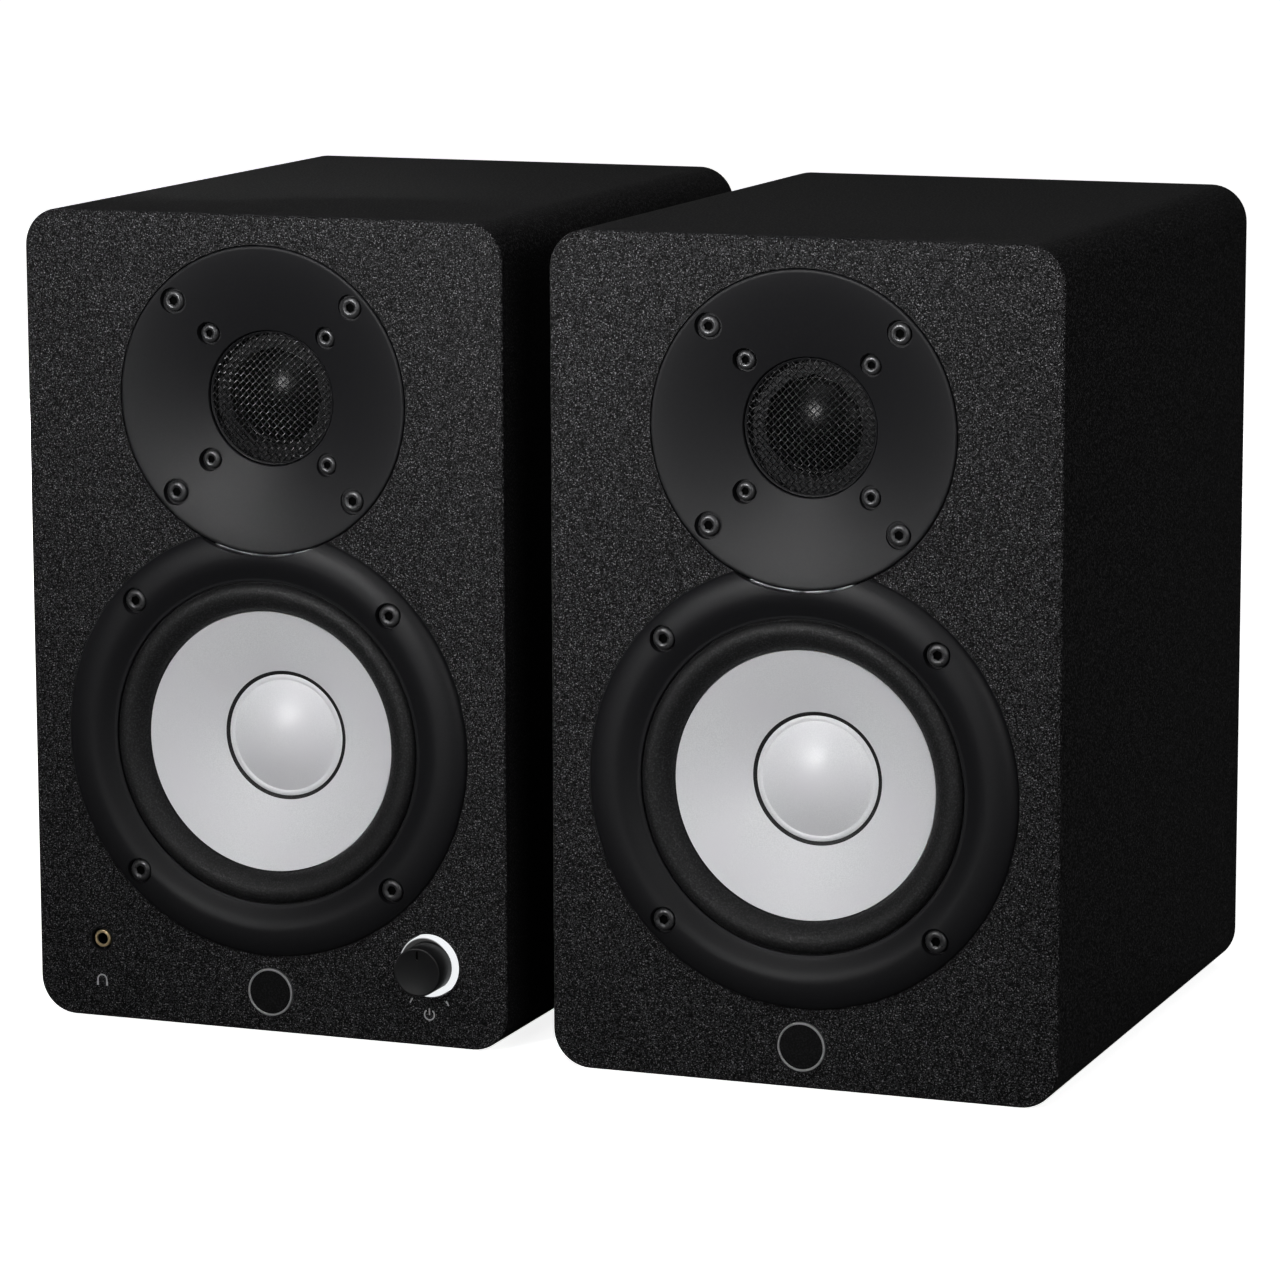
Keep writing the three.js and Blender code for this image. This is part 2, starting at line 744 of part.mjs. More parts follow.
function ampPanel() {
  const outline = roundedRectangle(panel.width, panel.height, panel.corner, 0, panel.z);
  const [front, back] = [cabinet.depth - 1, panelFace + 1];
  const slot = slider.width + 2 * (slider.travel + gap);
  const cuts = [-1, 1].flatMap((side) => [
    disc(combo.barrel + gap, front, back, facets.medium, side * combo.x, combo.z),
    block(slot, slider.height + 2 * gap, front, back, side * slider.x, slider.z),
  ]);
  cuts.push(
    block(phono.width + 2 * gap, phono.height + 2 * gap, front, back, phono.x, phono.z),
    disc(miniJack.nose + gap, front, back, facets.small, miniJack.x, miniJack.z),
    block(inlet.width + 2 * gap, inlet.height + 2 * gap, front, back, inlet.x, inlet.z),
    terminalNeck(speakerOut, front, back, gap),
  );
  return slab(outline, cabinet.depth, panelFace).subtract(all(cuts));
}

function comboJack(x) {
  const { z, barrel, depth, mouth, mouthDepth, plug, flange } = combo;
  const face = panelFace + flange.thickness;
  const outline = roundedRectangle(flange.width, flange.height, flange.corner, x, z, 2);
  const body = slab(outline, panelFace, face).add(
    disc(barrel, panelFace - depth, panelFace + 1, facets.medium, x, z),
  );
  const opening = disc(mouth, face - mouthDepth, face + 1, facets.medium, x, z);
  const centre = disc(plug, panelFace - depth + 2, face, facets.tiny, x, z);
  return body.subtract(opening.add(centre));
}

function phonoBlock() {
  const { x, z, width, height, depth, pitch, sleeve, sleeveLength, hole } = phono;
  const body = block(width, height, panelFace - depth, panelFace, x, z);
  const places = [x - pitch / 2, x + pitch / 2];
  const end = panelFace + sleeveLength;
  const sleeves = places.map((px) => disc(sleeve, panelFace - 1, end, facets.small, px, z));
  const holes = places.map((px) => disc(hole, panelFace - 4, end + 1, facets.tiny, px, z));
  return all([body, ...sleeves]).subtract(all(holes));
}

function miniJackSocket() {
  const { x, z, body, depth, nose, noseLength, hole } = miniJack;
  const end = panelFace + noseLength;
  const box = block(body, body, cabinet.depth - depth, cabinet.depth, x, z);
  const collar = disc(nose, cabinet.depth - 1, end, facets.small, x, z);
  const bore = disc(hole, cabinet.depth - depth + 2, end + 1, facets.tiny, x, z);
  return box.add(collar).subtract(bore);
}

function sliderCap(x) {
  const { z, width, height, proud, depth } = slider;
  return block(width, height, panelFace - depth, panelFace + proud, x, z);
}

function powerInlet() {
  const { x, z, width, height, depth, border, flange, socket, pin } = inlet;
  const face = panelFace + flange;
  const floor = face - socket.depth;
  const rim = block(width + 2 * border, height + 2 * border, panelFace, face, x, z);
  const body = block(width, height, panelFace - depth, panelFace + 1, x, z);
  const outline = roundedRectangle(socket.width, socket.height, socket.height / 2, x, z, 3);
  const recess = slab(outline, floor, face + 1);
  const pins = [-1, 1].map((side) =>
    disc(pin.radius, floor - 1, face - pin.short, facets.tiny, x + (side * pin.spacing) / 2, z),
  );
  return all([rim.add(body).subtract(recess), ...pins]);
}

function amplifierBoard() {
  const { width, height, thickness, fromBack, heatSink, capacitors, choke } = mainBoard;
  const y = cabinet.depth - fromBack;
  const foot = y + sunk;
  const sinkZ = panel.z + heatSink.z;
  const canZ = panel.z + capacitors.z;
  return all([
    block(width, height, y, y + thickness, 0, panel.z),
    block(heatSink.width, heatSink.height, y - heatSink.depth, foot, 0, sinkZ),
    block(choke.size, choke.size, y - choke.depth, foot, choke.x, panel.z + choke.z),
    ...capacitors.x.map((x) =>
      disc(capacitors.radius, y - capacitors.depth, foot, facets.small, x, canZ),
    ),
  ]);
}

function powerSupply() {
  const { width, length, thickness, standoff, fromBack, transformer, coil } = supplyBoard;
  const z = cabinet.wall + standoff;
  const y = cabinet.depth - fromBack;
  const foot = z + thickness - sunk;
  const parts = [transformer, coil].map((part) => {
    const front = y + part.from;
    return block(part.width, part.height, front, front + part.length, part.x, foot + part.height / 2);
  });
  return all([block(width, thickness, y, y + length, 0, z + thickness / 2), ...parts]);
}

// ---- Push terminals ------------------------------------------------------------------------

// The part of a terminal block that goes in through its panel.
function terminalNeck({ x, z }, front, back, clearance) {
  const width = terminal.width - 2 + 2 * clearance;
  return block(width, terminal.height - 2 + 2 * clearance, front, back, x, z);
}

// A flange on the panel's face, a housing with two wire holes, and a slot for each lever.
function terminalBlock(place, face) {
  const { x, z, flangeWidth, flangeHeight } = place;
  const outer = face + terminal.flange;
  const end = outer + terminal.housing;
  const plate = slab(roundedRectangle(flangeWidth, flangeHeight, 4, x, z, 2), face, outer);
  const neck = terminalNeck(place, face - terminal.inner, face + 1, 0);
  const housing = block(terminal.width, terminal.height, outer - 1, end, x, z);
  const cuts = [-1, 1].flatMap((side) => {
    const px = x + (side * terminal.pitch) / 2;
    const slotHeight = terminal.slotBelow + terminal.slotAbove;
    const slotZ = z + terminal.leverZ + (terminal.slotAbove - terminal.slotBelow) / 2;
    const { wireHole, wireDepth, wireZ, slotDepth, leverWidth } = terminal;
    return [
      block(wireHole, wireHole, end - wireDepth, end + 1, px, z + wireZ),
      block(leverWidth + 2 * gap, slotHeight, end - slotDepth, end + 1, px, slotZ),
    ];
  });
  return all([plate, neck, housing]).subtract(all(cuts));
}

// A lever seen from its side, with its pivot at the origin and y pointing out of the back.
function terminalLever(place, face, side) {
  const { barrel, leverReach, leverWidth, leverZ, pivotInset, pitch } = terminal;
  const outline = [
    [-barrel, -barrel],
    [barrel, -barrel],
    [leverReach - 0.5, -0.4],
    [leverReach, 2.4],
    [leverReach - 2.5, 2.6],
    [2 * barrel, barrel],
    [-barrel, barrel],
  ].map(([y, z]) => new THREE.Vector2(y, z));
  const geometry = new THREE.ExtrudeGeometry(new THREE.Shape(outline), {
    depth: leverWidth,
    bevelEnabled: false,
  });
  const sideways = new THREE.Matrix4().set(0, 0, 1, 0, 1, 0, 0, 0, 0, 1, 0, 0, 0, 0, 0, 1);
  const pivotY = face + terminal.flange + terminal.housing - pivotInset;
  const x = place.x + (side * pitch) / 2 - leverWidth / 2;
  return solidOf(geometry.applyMatrix4(sideways).translate(x, pivotY, place.z + leverZ));
}

function crossoverBoard() {
  const { size, thickness, fromBack, partDepth, coil, capacitor } = crossover;
  const y = cabinet.depth - fromBack;
  const [front, foot] = [y - partDepth, y + sunk];
  const { z } = speakerIn;
  return all([
    block(size, size, y, y + thickness, 0, z),
    tube(coil.inner, coil.outer, front, foot, facets.small, coil.x, z + coil.z),
    block(capacitor.width, capacitor.height, front, foot, capacitor.x, z + capacitor.z),
  ]);
}

// ---- The two speakers ----------------------------------------------------------------------

// The pieces that both speakers have, as [name, solid, finish].
function sharedPieces(powered) {
  const motor = wooferMotor();
  const place = powered ? speakerOut : speakerIn;
  const face = powered ? panelFace : cabinet.depth;
  return [
    ['cabinet_shell', cabinetShell(), finishes.film],
    ['front_baffle', frontBaffle(powered), finishes.front],
    ['back_board', backBoard(powered), finishes.film],
    ['port_tube', portTube(), finishes.moulded],
    ['woofer_ring', wooferRing(), finishes.moulded],
    ['woofer_basket', wooferBasket(), finishes.steel],
    ['woofer_surround', wooferSurround(), finishes.rubber],
    ['woofer_cone', wooferCone(), finishes.cone],
    ['woofer_dust_cap', wooferDustCap(), finishes.cone],
    ['woofer_spider', wooferSpider(), finishes.spider],
    ['woofer_voice_coil', wooferVoiceCoil(), finishes.copper],
    ['woofer_top_plate', motor.topPlate, finishes.steel],
    ['woofer_magnet', motor.magnet, finishes.ferrite],
    ['woofer_yoke', motor.yoke, finishes.steel],
    ['tweeter_waveguide', tweeterWaveguide(), finishes.moulded],
    ['tweeter_grille', tweeterGrille(), finishes.mesh],
    ['tweeter_dome', tweeterDome(), finishes.silk],
    ['tweeter_motor', tweeterMotor(), finishes.steel],
    ['badge', frontBadge(), finishes.badge],
    ['terminal_block', terminalBlock(place, face), finishes.black],
    ['lever_red', terminalLever(place, face, -1), finishes.red],
    ['lever_black', terminalLever(place, face, 1), finishes.black],
  ];
}

const poweredPieces = () => [
  ['amp_panel', ampPanel(), finishes.panel],
  ['main_board', amplifierBoard(), finishes.board],
  ['power_supply', powerSupply(), finishes.board],
  ['combo_jack_1', comboJack(-combo.x), finishes.black],
  ['combo_jack_2', comboJack(combo.x), finishes.black],
  ['phono_jacks', phonoBlock(), finishes.black],
  ['mini_jack', miniJackSocket(), finishes.black],
  ['high_trim_slider', sliderCap(-slider.x), finishes.black],
  ['room_control_slider', sliderCap(slider.x), finishes.black],
  ['power_inlet', powerInlet(), finishes.black],
  ['volume_knob', volumeKnob(), finishes.moulded],
  ['encoder_shaft', encoderShaft(), finishes.steel],
  ['volume_encoder', volumeEncoder(), finishes.black],
  ['light_ring', volumeLightRing(), finishes.light],
  ['headphone_jack', headphoneJack(), finishes.brass],
];

function speaker(side, pieces) {
  const group = new THREE.Group();
  pieces.forEach(([name, solid, material]) => group.add(piece(`${side}_${name}`, solid, material)));
  return group;
}

const left = speaker('left', [...sharedPieces(true), ...poweredPieces()]);
const right = speaker('right', [
  ...sharedPieces(false),
  ['crossover_board', crossoverBoard(), finishes.board],
]);

const offset = (cabinet.width + pair.gap) / 2;
left.position.x = -offset;
right.position.set(offset, -pair.rightForward, 0);

const model = new THREE.Group();
model.add(left, right);
const bounds = new THREE.Box3().setFromObject(model);
model.position.y = -(bounds.min.y + bounds.max.y) / 2;

export default model;
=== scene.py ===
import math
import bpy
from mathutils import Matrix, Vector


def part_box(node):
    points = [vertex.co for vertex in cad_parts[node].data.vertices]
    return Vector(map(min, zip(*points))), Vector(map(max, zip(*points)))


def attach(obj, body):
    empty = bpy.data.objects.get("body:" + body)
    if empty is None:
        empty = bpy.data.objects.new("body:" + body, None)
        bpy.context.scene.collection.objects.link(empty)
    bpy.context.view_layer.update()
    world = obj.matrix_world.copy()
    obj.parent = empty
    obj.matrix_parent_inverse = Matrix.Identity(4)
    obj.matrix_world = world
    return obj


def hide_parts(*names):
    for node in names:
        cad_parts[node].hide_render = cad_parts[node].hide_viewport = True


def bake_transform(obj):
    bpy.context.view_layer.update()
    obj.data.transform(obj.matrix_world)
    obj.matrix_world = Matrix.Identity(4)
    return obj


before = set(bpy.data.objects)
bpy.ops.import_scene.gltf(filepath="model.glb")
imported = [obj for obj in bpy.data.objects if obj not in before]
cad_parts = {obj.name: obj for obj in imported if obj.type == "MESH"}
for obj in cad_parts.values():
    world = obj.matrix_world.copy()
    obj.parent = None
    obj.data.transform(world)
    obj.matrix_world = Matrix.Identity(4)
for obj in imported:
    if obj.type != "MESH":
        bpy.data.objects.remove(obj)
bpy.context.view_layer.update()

# A pair of desktop speakers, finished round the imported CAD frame. Each speaker is drawn in
# millimetres from its own centre line (x), front face (y, growing backwards) and desk (z).
from types import SimpleNamespace

import bmesh
import bpy
from mathutils import Matrix, Vector

MM = 0.001
ROUND = 144  # steps round a large circle
FINE = 48  # steps round a small one
CREASE = math.radians(32)  # faces that meet at more than this show an edge


# ---- Solids: every one is (vertices, faces) -----------------------------------------------------

def spaced(first, last, steps):
    """Numbers from the first to the last in even steps, with both ends."""
    return [first + (last - first) * step / steps for step in range(steps + 1)]


def sweep(start, end, steps, rule):
    """Points of (radius, y) between two radii, with y given by a rule."""
    return [(radius, rule(radius)) for radius in spaced(start, end, steps)]


def joined(*solids):
    vertices, faces = [], []
    for points, sides in solids:
        first = len(vertices)
        vertices += points
        faces += [[first + corner for corner in side] for side in sides]
    return vertices, faces


def skin(rings, closed=False):
    """Runs through rings of 3-D points with the same count, with a cap at each end if it isn't closed."""
    count = len(rings[0])
    vertices = [point for ring in rings for point in ring]
    rows = len(rings) if closed else len(rings) - 1
    faces = []
    for row in range(rows):
        near = row * count
        far = (row + 1) % len(rings) * count
        for i in range(count):
            j = (i + 1) % count
            faces.append([near + i, near + j, far + j, far + i])
    if not closed:
        faces.append(list(range(count))[::-1])
        faces.append([(len(rings) - 1) * count + i for i in range(count)])
    return vertices, faces


def loft(sections, closed=False):
    """Runs through outlines of (x, z) points, each given as (outline, y)."""
    return skin([[(x, y, z) for x, z in outline] for outline, y in sections], closed)


def turned(profile, centre, steps=ROUND):
    """Turns a closed profile of (radius, y) about the line through centre along Y."""
    vertices, rings, faces = [], [], []
    for radius, y in profile:
        count = steps if radius > 1e-6 else 1
        rings.append((len(vertices), count))
        for i in range(count):
            angle = 2 * math.pi * i / count
            vertices.append((centre[0] + radius * math.sin(angle), y, centre[1] + radius * math.cos(angle)))
    for (near, near_count), (far, far_count) in zip(rings, rings[1:] + rings[:1]):
        for i in range(steps):
            j = (i + 1) % steps
            side = [near + i % near_count, near + j % near_count, far + j % far_count, far + i % far_count]
            side = list(dict.fromkeys(side))
            if len(side) > 2:
                faces.append(side)
    return vertices, faces


def rounded(points, radii):
    """A closed outline with its corners rounded. radii is one number, or one for each corner."""
    if not isinstance(radii, (list, tuple)):
        radii = [radii] * len(points)
    steps = 5
    outline = []
    for i, (point, radius) in enumerate(zip(points, radii)):
        corner = Vector(point)
        before = Vector(points[i - 1]) - corner
        after = Vector(points[(i + 1) % len(points)]) - corner
        half = before.angle(after) / 2
        reach = min(radius / math.tan(half), 0.48 * before.length, 0.48 * after.length)
        if reach < 1e-4:
            outline.append(tuple(corner))
            continue
        start = corner + before.normalized() * reach
        end = corner + after.normalized() * reach
        for step in range(steps + 1):
            share = step / steps
            curve = (1 - share) ** 2 * start + 2 * share * (1 - share) * corner + share**2 * end
            outline.append(tuple(curve))
    return outline


def rectangle(width, height, radius, centre, steps=10):
    """A rectangle with corners that are quarter circles."""
    outline = []
    reach_x, reach_z = width / 2 - radius, height / 2 - radius
    for quarter, (side_x, side_z) in enumerate([(1, 1), (-1, 1), (-1, -1), (1, -1)]):
        for step in range(steps + 1):
            angle = (quarter + step / steps) * math.pi / 2
            x = centre[0] + side_x * reach_x + radius * math.cos(angle)
            z = centre[1] + side_z * reach_z + radius * math.sin(angle)
            outline.append((x, z))
    return outline


def slab(width, height, radius, front, back, centre, edge, back_edge=0.0):
    """A plate with round corners, and with its front and back edges rounded by edge and back_edge."""
    def ends(y, inward, size):
        sections = []
        for step in range(4 if size else 1):
            angle = step / 3 * math.pi / 2
            inset = size * (1 - math.sin(angle)) if size else 0
            depth = y + inward * size * (1 - math.cos(angle))
            corner = max(radius - inset, 0.05)
            sections.append((rectangle(width - 2 * inset, height - 2 * inset, corner, centre), depth))
        return sections
    return loft(ends(front, 1, edge) + ends(back, -1, back_edge)[::-1])


def pipe(inner, outer, front, back, centre, edge, steps=FINE):
    """A pipe along Y, with its edges rounded as rounded() is told."""
    corners = [(inner, front), (outer, front), (outer, back), (inner, back)]
    return turned(rounded(corners, edge), centre, steps)


def disc(radius, front, back, centre, steps=FINE):
    return pipe(0, radius, front, back, centre, 0, steps)


def wire(path, radius):
    """A six-sided wire along a path that never runs along Y."""
    sides = 6
    rings = []
    for i, point in enumerate(path):
        ahead = Vector(path[min(i + 1, len(path) - 1)]) - Vector(path[max(i - 1, 0)])
        across = ahead.cross(Vector((0, 1, 0))).normalized()
        out = across.cross(ahead).normalized()
        ring = []
        for side in range(sides):
            angle = 2 * math.pi * side / sides
            ring.append(tuple(Vector(point) + radius * (math.cos(angle) * across + math.sin(angle) * out)))
        rings.append(ring)
    return skin(rings)


def ribbon(path, width, front, back):
    """A flat stroke of ink or paint along a path of (x, z) points."""
    rings = []
    for i, point in enumerate(path):
        ahead = Vector(path[min(i + 1, len(path) - 1)]) - Vector(path[max(i - 1, 0)])
        side = Vector((-ahead.y, ahead.x)).normalized() * width / 2
        near, far = Vector(point) + side, Vector(point) - side
        corners = ((near, front), (far, front), (far, back), (near, back))
        rings.append([(spot.x, y, spot.y) for spot, y in corners])
    return skin(rings)


def mesh_of(name, solid, scale=1.0, origin=(0, 0, 0)):
    vertices, faces = solid
    mesh = bpy.data.meshes.new(name)
    mesh.from_pydata([Vector(origin) + Vector(vertex) * scale for vertex in vertices], [], faces)
    mesh.validate()
    return mesh


def facing_out(mesh):
    work = bmesh.new()
    work.from_mesh(mesh)
    bmesh.ops.recalc_face_normals(work, faces=work.faces)
    work.to_mesh(mesh)
    work.free()


def cut(solid, *tools):
    """The solid without the tools, which don't touch each other."""
    shapes = []
    for name, shape in (("solid", solid), ("tool", joined(*tools))):
        mesh = mesh_of(name, shape)
        facing_out(mesh)
        shapes.append(bpy.data.objects.new(name, mesh))
        bpy.context.collection.objects.link(shapes[-1])
    modifier = shapes[0].modifiers.new("cut", "BOOLEAN")
    modifier.solver = "EXACT"
    modifier.object = shapes[1]
    result = bpy.data.meshes.new_from_object(shapes[0].evaluated_get(bpy.context.evaluated_depsgraph_get()))
    vertices = [tuple(vertex.co) for vertex in result.vertices]
    faces = [list(polygon.vertices) for polygon in result.polygons]
    for shape in shapes:
        bpy.data.meshes.remove(shape.data)
    bpy.data.meshes.remove(result)
    return vertices, faces


# ---- Materials ----------------------------------------------------------------------------------

LOOKS = {}
MIX_SHARE, MIX_A, MIX_B, MIX_RESULT = 0, 6, 7, 2  # sockets of a Mix node for colours


class Look:
    """A material with its Principled shader, fed by textures in the piece's own coordinates. A texture is
    noise, told as (size of its spots in millimetres, detail, stretch), or the size of round grains alone."""

    def __init__(self, name, colour, roughness, metallic=0.0, specular=0.5):
        self.material = bpy.data.materials.new(name)
        self.material.use_nodes = True
        self.tree = self.material.node_tree
        self.shader = self.tree.nodes["Principled BSDF"]
        self.place = self.add("TexCoord").outputs["Object"]
        self.set("Base Color", (*colour, 1))
        self.set("Roughness", roughness)
        self.set("Metallic", metallic)
        self.set("Specular IOR Level", specular)
        LOOKS[name] = self.material

    def add(self, kind, **values):
        node = self.tree.nodes.new(f"ShaderNode{kind}")
        for key, value in values.items():
            setattr(node, key, value)
        return node

    def link(self, source, target):
        self.tree.links.new(source, target)

    def set(self, socket, value):
        self.shader.inputs[socket].default_value = value

    def noise(self, size, detail, stretch=(1, 1, 1)):
        mapping = self.add("Mapping")
        mapping.inputs["Scale"].default_value = [1 / (size * MM * share) for share in stretch]
        self.link(self.place, mapping.inputs["Vector"])
        noise = self.add("TexNoise")
        noise.inputs["Scale"].default_value = 1.0
        noise.inputs["Detail"].default_value = detail
        self.link(mapping.outputs["Vector"], noise.inputs["Vector"])
        return noise.outputs[0]

    def grains(self, size):
        cells = self.add("TexVoronoi")
        cells.inputs["Scale"].default_value = 1 / (size * MM)
        self.link(self.place, cells.inputs["Vector"])
        return cells.outputs["Distance"]

    def texture(self, told):
        return self.noise(*told) if isinstance(told, tuple) else self.grains(told)

    def ramp(self, source, low, high, from_low=0.35, from_high=0.65):
        """Stretches a texture so that its middle tones run from low to high."""
        ramp = self.add("MapRange")
        sockets = ("From Min", "From Max", "To Min", "To Max")
        for socket, value in zip(sockets, (from_low, from_high, low, high)):
            ramp.inputs[socket].default_value = value
        self.link(source, ramp.inputs["Value"])
        return ramp.outputs["Result"]

    def tint(self, texture, other, *between):
        """Mixes the colour so far with another where a texture is bright."""
        source = self.texture(texture)
        socket = self.shader.inputs["Base Color"]
        mix = self.add("Mix", data_type="RGBA")
        if socket.is_linked:
            self.link(socket.links[0].from_socket, mix.inputs[MIX_A])
        else:
            mix.inputs[MIX_A].default_value = socket.default_value
        mix.inputs[MIX_B].default_value = (*other, 1)
        self.link(self.ramp(source, 0, 1, *between), mix.inputs[MIX_SHARE])
        self.link(mix.outputs[MIX_RESULT], socket)

    def polish(self, texture, low, high):
        """Lets the roughness follow a texture from low to high."""
        self.link(self.ramp(self.texture(texture), low, high), self.shader.inputs["Roughness"])

    def bump(self, texture, depth):
        """Raises the surface by a depth in millimetres."""
        source = self.texture(texture)
        bump = self.add("Bump")
        bump.inputs["Distance"].default_value = depth * MM
        bump.inputs["Strength"].default_value = 1.0
        self.link(source, bump.inputs["Height"])
        self.link(bump.outputs["Normal"], self.shader.inputs["Normal"])


def plain_look(name, colour, roughness, tints, polish=None, bump=None, metallic=0.0, specular=0.5):
    look = Look(name, colour, roughness, metallic, specular)
    for tint in tints:
        look.tint(*tint)
    if polish:
        look.polish(*polish)
    if bump:
        look.bump(*bump)
    return look


# Name, colour, roughness, tints, polish, bump, metallic and specular. Each tint, polish and bump is what its
# method above takes.
PLAIN_LOOKS = (
    ("cabinet_film", (0.0028, 0.0028, 0.003), 0.55, [((0.55, 1), (0.05, 0.049, 0.051), 0.5, 0.76)],
     ((0.6, 2), 0.5, 0.62), ((0.6, 2), 0.03), 0, 0.08),
    ("front_paint", (0.0008, 0.0008, 0.0009), 0.62,
     [((0.52, 1), (0.031, 0.0305, 0.032), 0.47, 0.75), ((0.4, 1), (0.24, 0.236, 0.245), 0.6, 0.8)],
     ((0.8, 2), 0.5, 0.75), ((0.55, 2), 0.13), 0, 0.08),
    ("moulded_black", (0.0058, 0.0058, 0.0066), 0.47, [((0.6, 2), (0.0075, 0.0075, 0.0084))],
     ((0.7, 2), 0.44, 0.5), ((0.5, 2), 0.006), 0, 0.17),
    ("rubber", (0.0025, 0.0025, 0.0027), 0.55, [((0.5, 1), (0.022, 0.022, 0.023), 0.48, 0.75)],
     ((0.7, 2), 0.45, 0.7), (0.6, 0.06), 0, 0.25),
    ("spider_cloth", (0.42, 0.24, 0.08), 0.85,
     [((0.5, 2, (4, 1, 1)), (0.62, 0.40, 0.17)), ((0.5, 2, (1, 1, 4)), (0.30, 0.16, 0.05), 0.5, 0.8)],
     None, (0.6, 0.12)),
    ("copper_wire", (0.62, 0.27, 0.11), 0.32, [((3, 2), (0.5, 0.2, 0.08))], None,
     ((0.25, 1, (60, 1, 60)), 0.06), 1),
    ("steel", (0.42, 0.43, 0.44), 0.36, [((8, 3), (0.33, 0.34, 0.35))], ((3, 4), 0.28, 0.46),
     ((0.3, 2), 0.01), 1),
    ("black_screw", (0.038, 0.038, 0.04), 0.33, [((0.5, 2), (0.058, 0.058, 0.06))],
     ((0.8, 3), 0.26, 0.42), ((0.2, 2), 0.006), 0.6),
    ("ferrite", (0.028, 0.028, 0.03), 0.7, [((1.2, 4), (0.045, 0.045, 0.047))], None, ((0.8, 4), 0.05)),
    ("black_mesh", (0.027, 0.027, 0.028), 0.28, [((2.5, 2), (0.02, 0.02, 0.021))],
     ((1, 2), 0.22, 0.34), None, 0.6, 0.35),
    ("dome_silk", (0.002, 0.002, 0.0022), 0.26, [((0.3, 2), (0.005, 0.005, 0.0055))], None,
     (0.3, 0.003), 0, 0.14),
    ("badge_metal", (0.34, 0.34, 0.345), 0.36, [((0.3, 2, (12, 1, 1)), (0.42, 0.42, 0.425))],
     ((0.25, 2, (14, 1, 1)), 0.3, 0.42), ((0.2, 1, (20, 1, 1)), 0.004), 0.6),
    ("badge_face", (0.0015, 0.0015, 0.0016), 0.55, [((0.5, 1), (0.012, 0.012, 0.0125), 0.46, 0.75)],
     None, ((0.5, 2), 0.005), 0, 0.1),
    ("knob_black", (0.005, 0.005, 0.0054), 0.46, [((0.8, 2), (0.0065, 0.0065, 0.007))],
     ((0.8, 3), 0.42, 0.52), ((0.25, 2), 0.006), 0, 0.25),
    ("socket_brass", (0.58, 0.46, 0.27), 0.42, [((1.5, 2), (0.50, 0.38, 0.21))],
     ((0.6, 2), 0.38, 0.48), None, 0.8),
    ("socket_black", (0.012, 0.012, 0.013), 0.44, [((6, 2), (0.017, 0.017, 0.018))],
     ((2, 3), 0.38, 0.52), ((0.3, 2), 0.012)),
    # For the bottoms of sockets and slots, where no light reaches.
    ("deep_black", (0.0006, 0.0006, 0.0006), 0.8, [((0.5, 2), (0.001, 0.001, 0.001))], None, None, 0, 0.03),
    ("panel_paint", (0.010, 0.010, 0.0105), 0.55, [((20, 2), (0.014, 0.014, 0.0145))],
     ((0.7, 3), 0.45, 0.65), ((0.6, 3), 0.04), 0.2),
    ("circuit_board", (0.015, 0.09, 0.035), 0.42,
     [((3, 0, (6, 1, 1)), (0.03, 0.15, 0.06), 0.5, 0.54), ((2, 0), (0.35, 0.3, 0.2), 0.68, 0.7)],
     None, ((3, 0, (6, 1, 1)), 0.03)),
)
COLOURED_PLASTICS = {
    "lever_red": ((0.33, 0.012, 0.01), (0.26, 0.008, 0.007)),
    "lever_black": ((0.010, 0.010, 0.011), (0.016, 0.016, 0.017)),
    "plug_red": ((0.42, 0.02, 0.015), (0.34, 0.015, 0.012)),
    "plug_white": ((0.62, 0.61, 0.58), (0.54, 0.53, 0.50)),
}
INKS = {"front_ink": (0.42, 0.42, 0.43), "panel_ink": (0.5, 0.5, 0.5)}


def white_cone():
    tints = [((0.35, 2), (0.66, 0.665, 0.68)), ((18, 2), (0.62, 0.615, 0.64))]
    look = plain_look("white_cone", (0.58, 0.585, 0.60), 0.38, tints,
                      ((0.4, 2), 0.34, 0.46), ((0.5, 3), 0.008), specular=0.45)
    look.set("Coat Weight", 0.15)
    look.set("Coat Roughness", 0.35)


def lit_ring():
    """A lit ring whose glow is masked off towards the upper left, so that it shows as a crescent at the lower
    right.
    """
    dark, bright = (0.02, 0.02, 0.02), (0.96, 0.98, 1.0)
    thin, full = 7.5, 7.9  # millimetres from a point just beside the ring's centre
    look = Look("lit_ring", dark, 0.35)
    low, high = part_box("left_light_ring")
    middle = (low + high) / 2 + Vector((-1.0, 0, 0.6)) * MM
    flat = look.add("VectorMath", operation="MULTIPLY")
    flat.inputs[1].default_value = (1, 0, 1)
    aside = look.add("VectorMath", operation="SUBTRACT")
    aside.inputs[1].default_value = (middle.x, 0, middle.z)
    length = look.add("VectorMath", operation="LENGTH")
    look.link(look.place, flat.inputs[0])
    look.link(flat.outputs[0], aside.inputs[0])
    look.link(aside.outputs[0], length.inputs[0])
    glow = look.add("Mix", data_type="RGBA")
    glow.inputs[MIX_A].default_value = (*dark, 1)
    glow.inputs[MIX_B].default_value = (*bright, 1)
    look.link(look.ramp(length.outputs["Value"], 0, 1, thin * MM, full * MM), glow.inputs[MIX_SHARE])
    look.link(glow.outputs[MIX_RESULT], look.shader.inputs["Emission Color"])
    look.set("Emission Strength", 0.9)


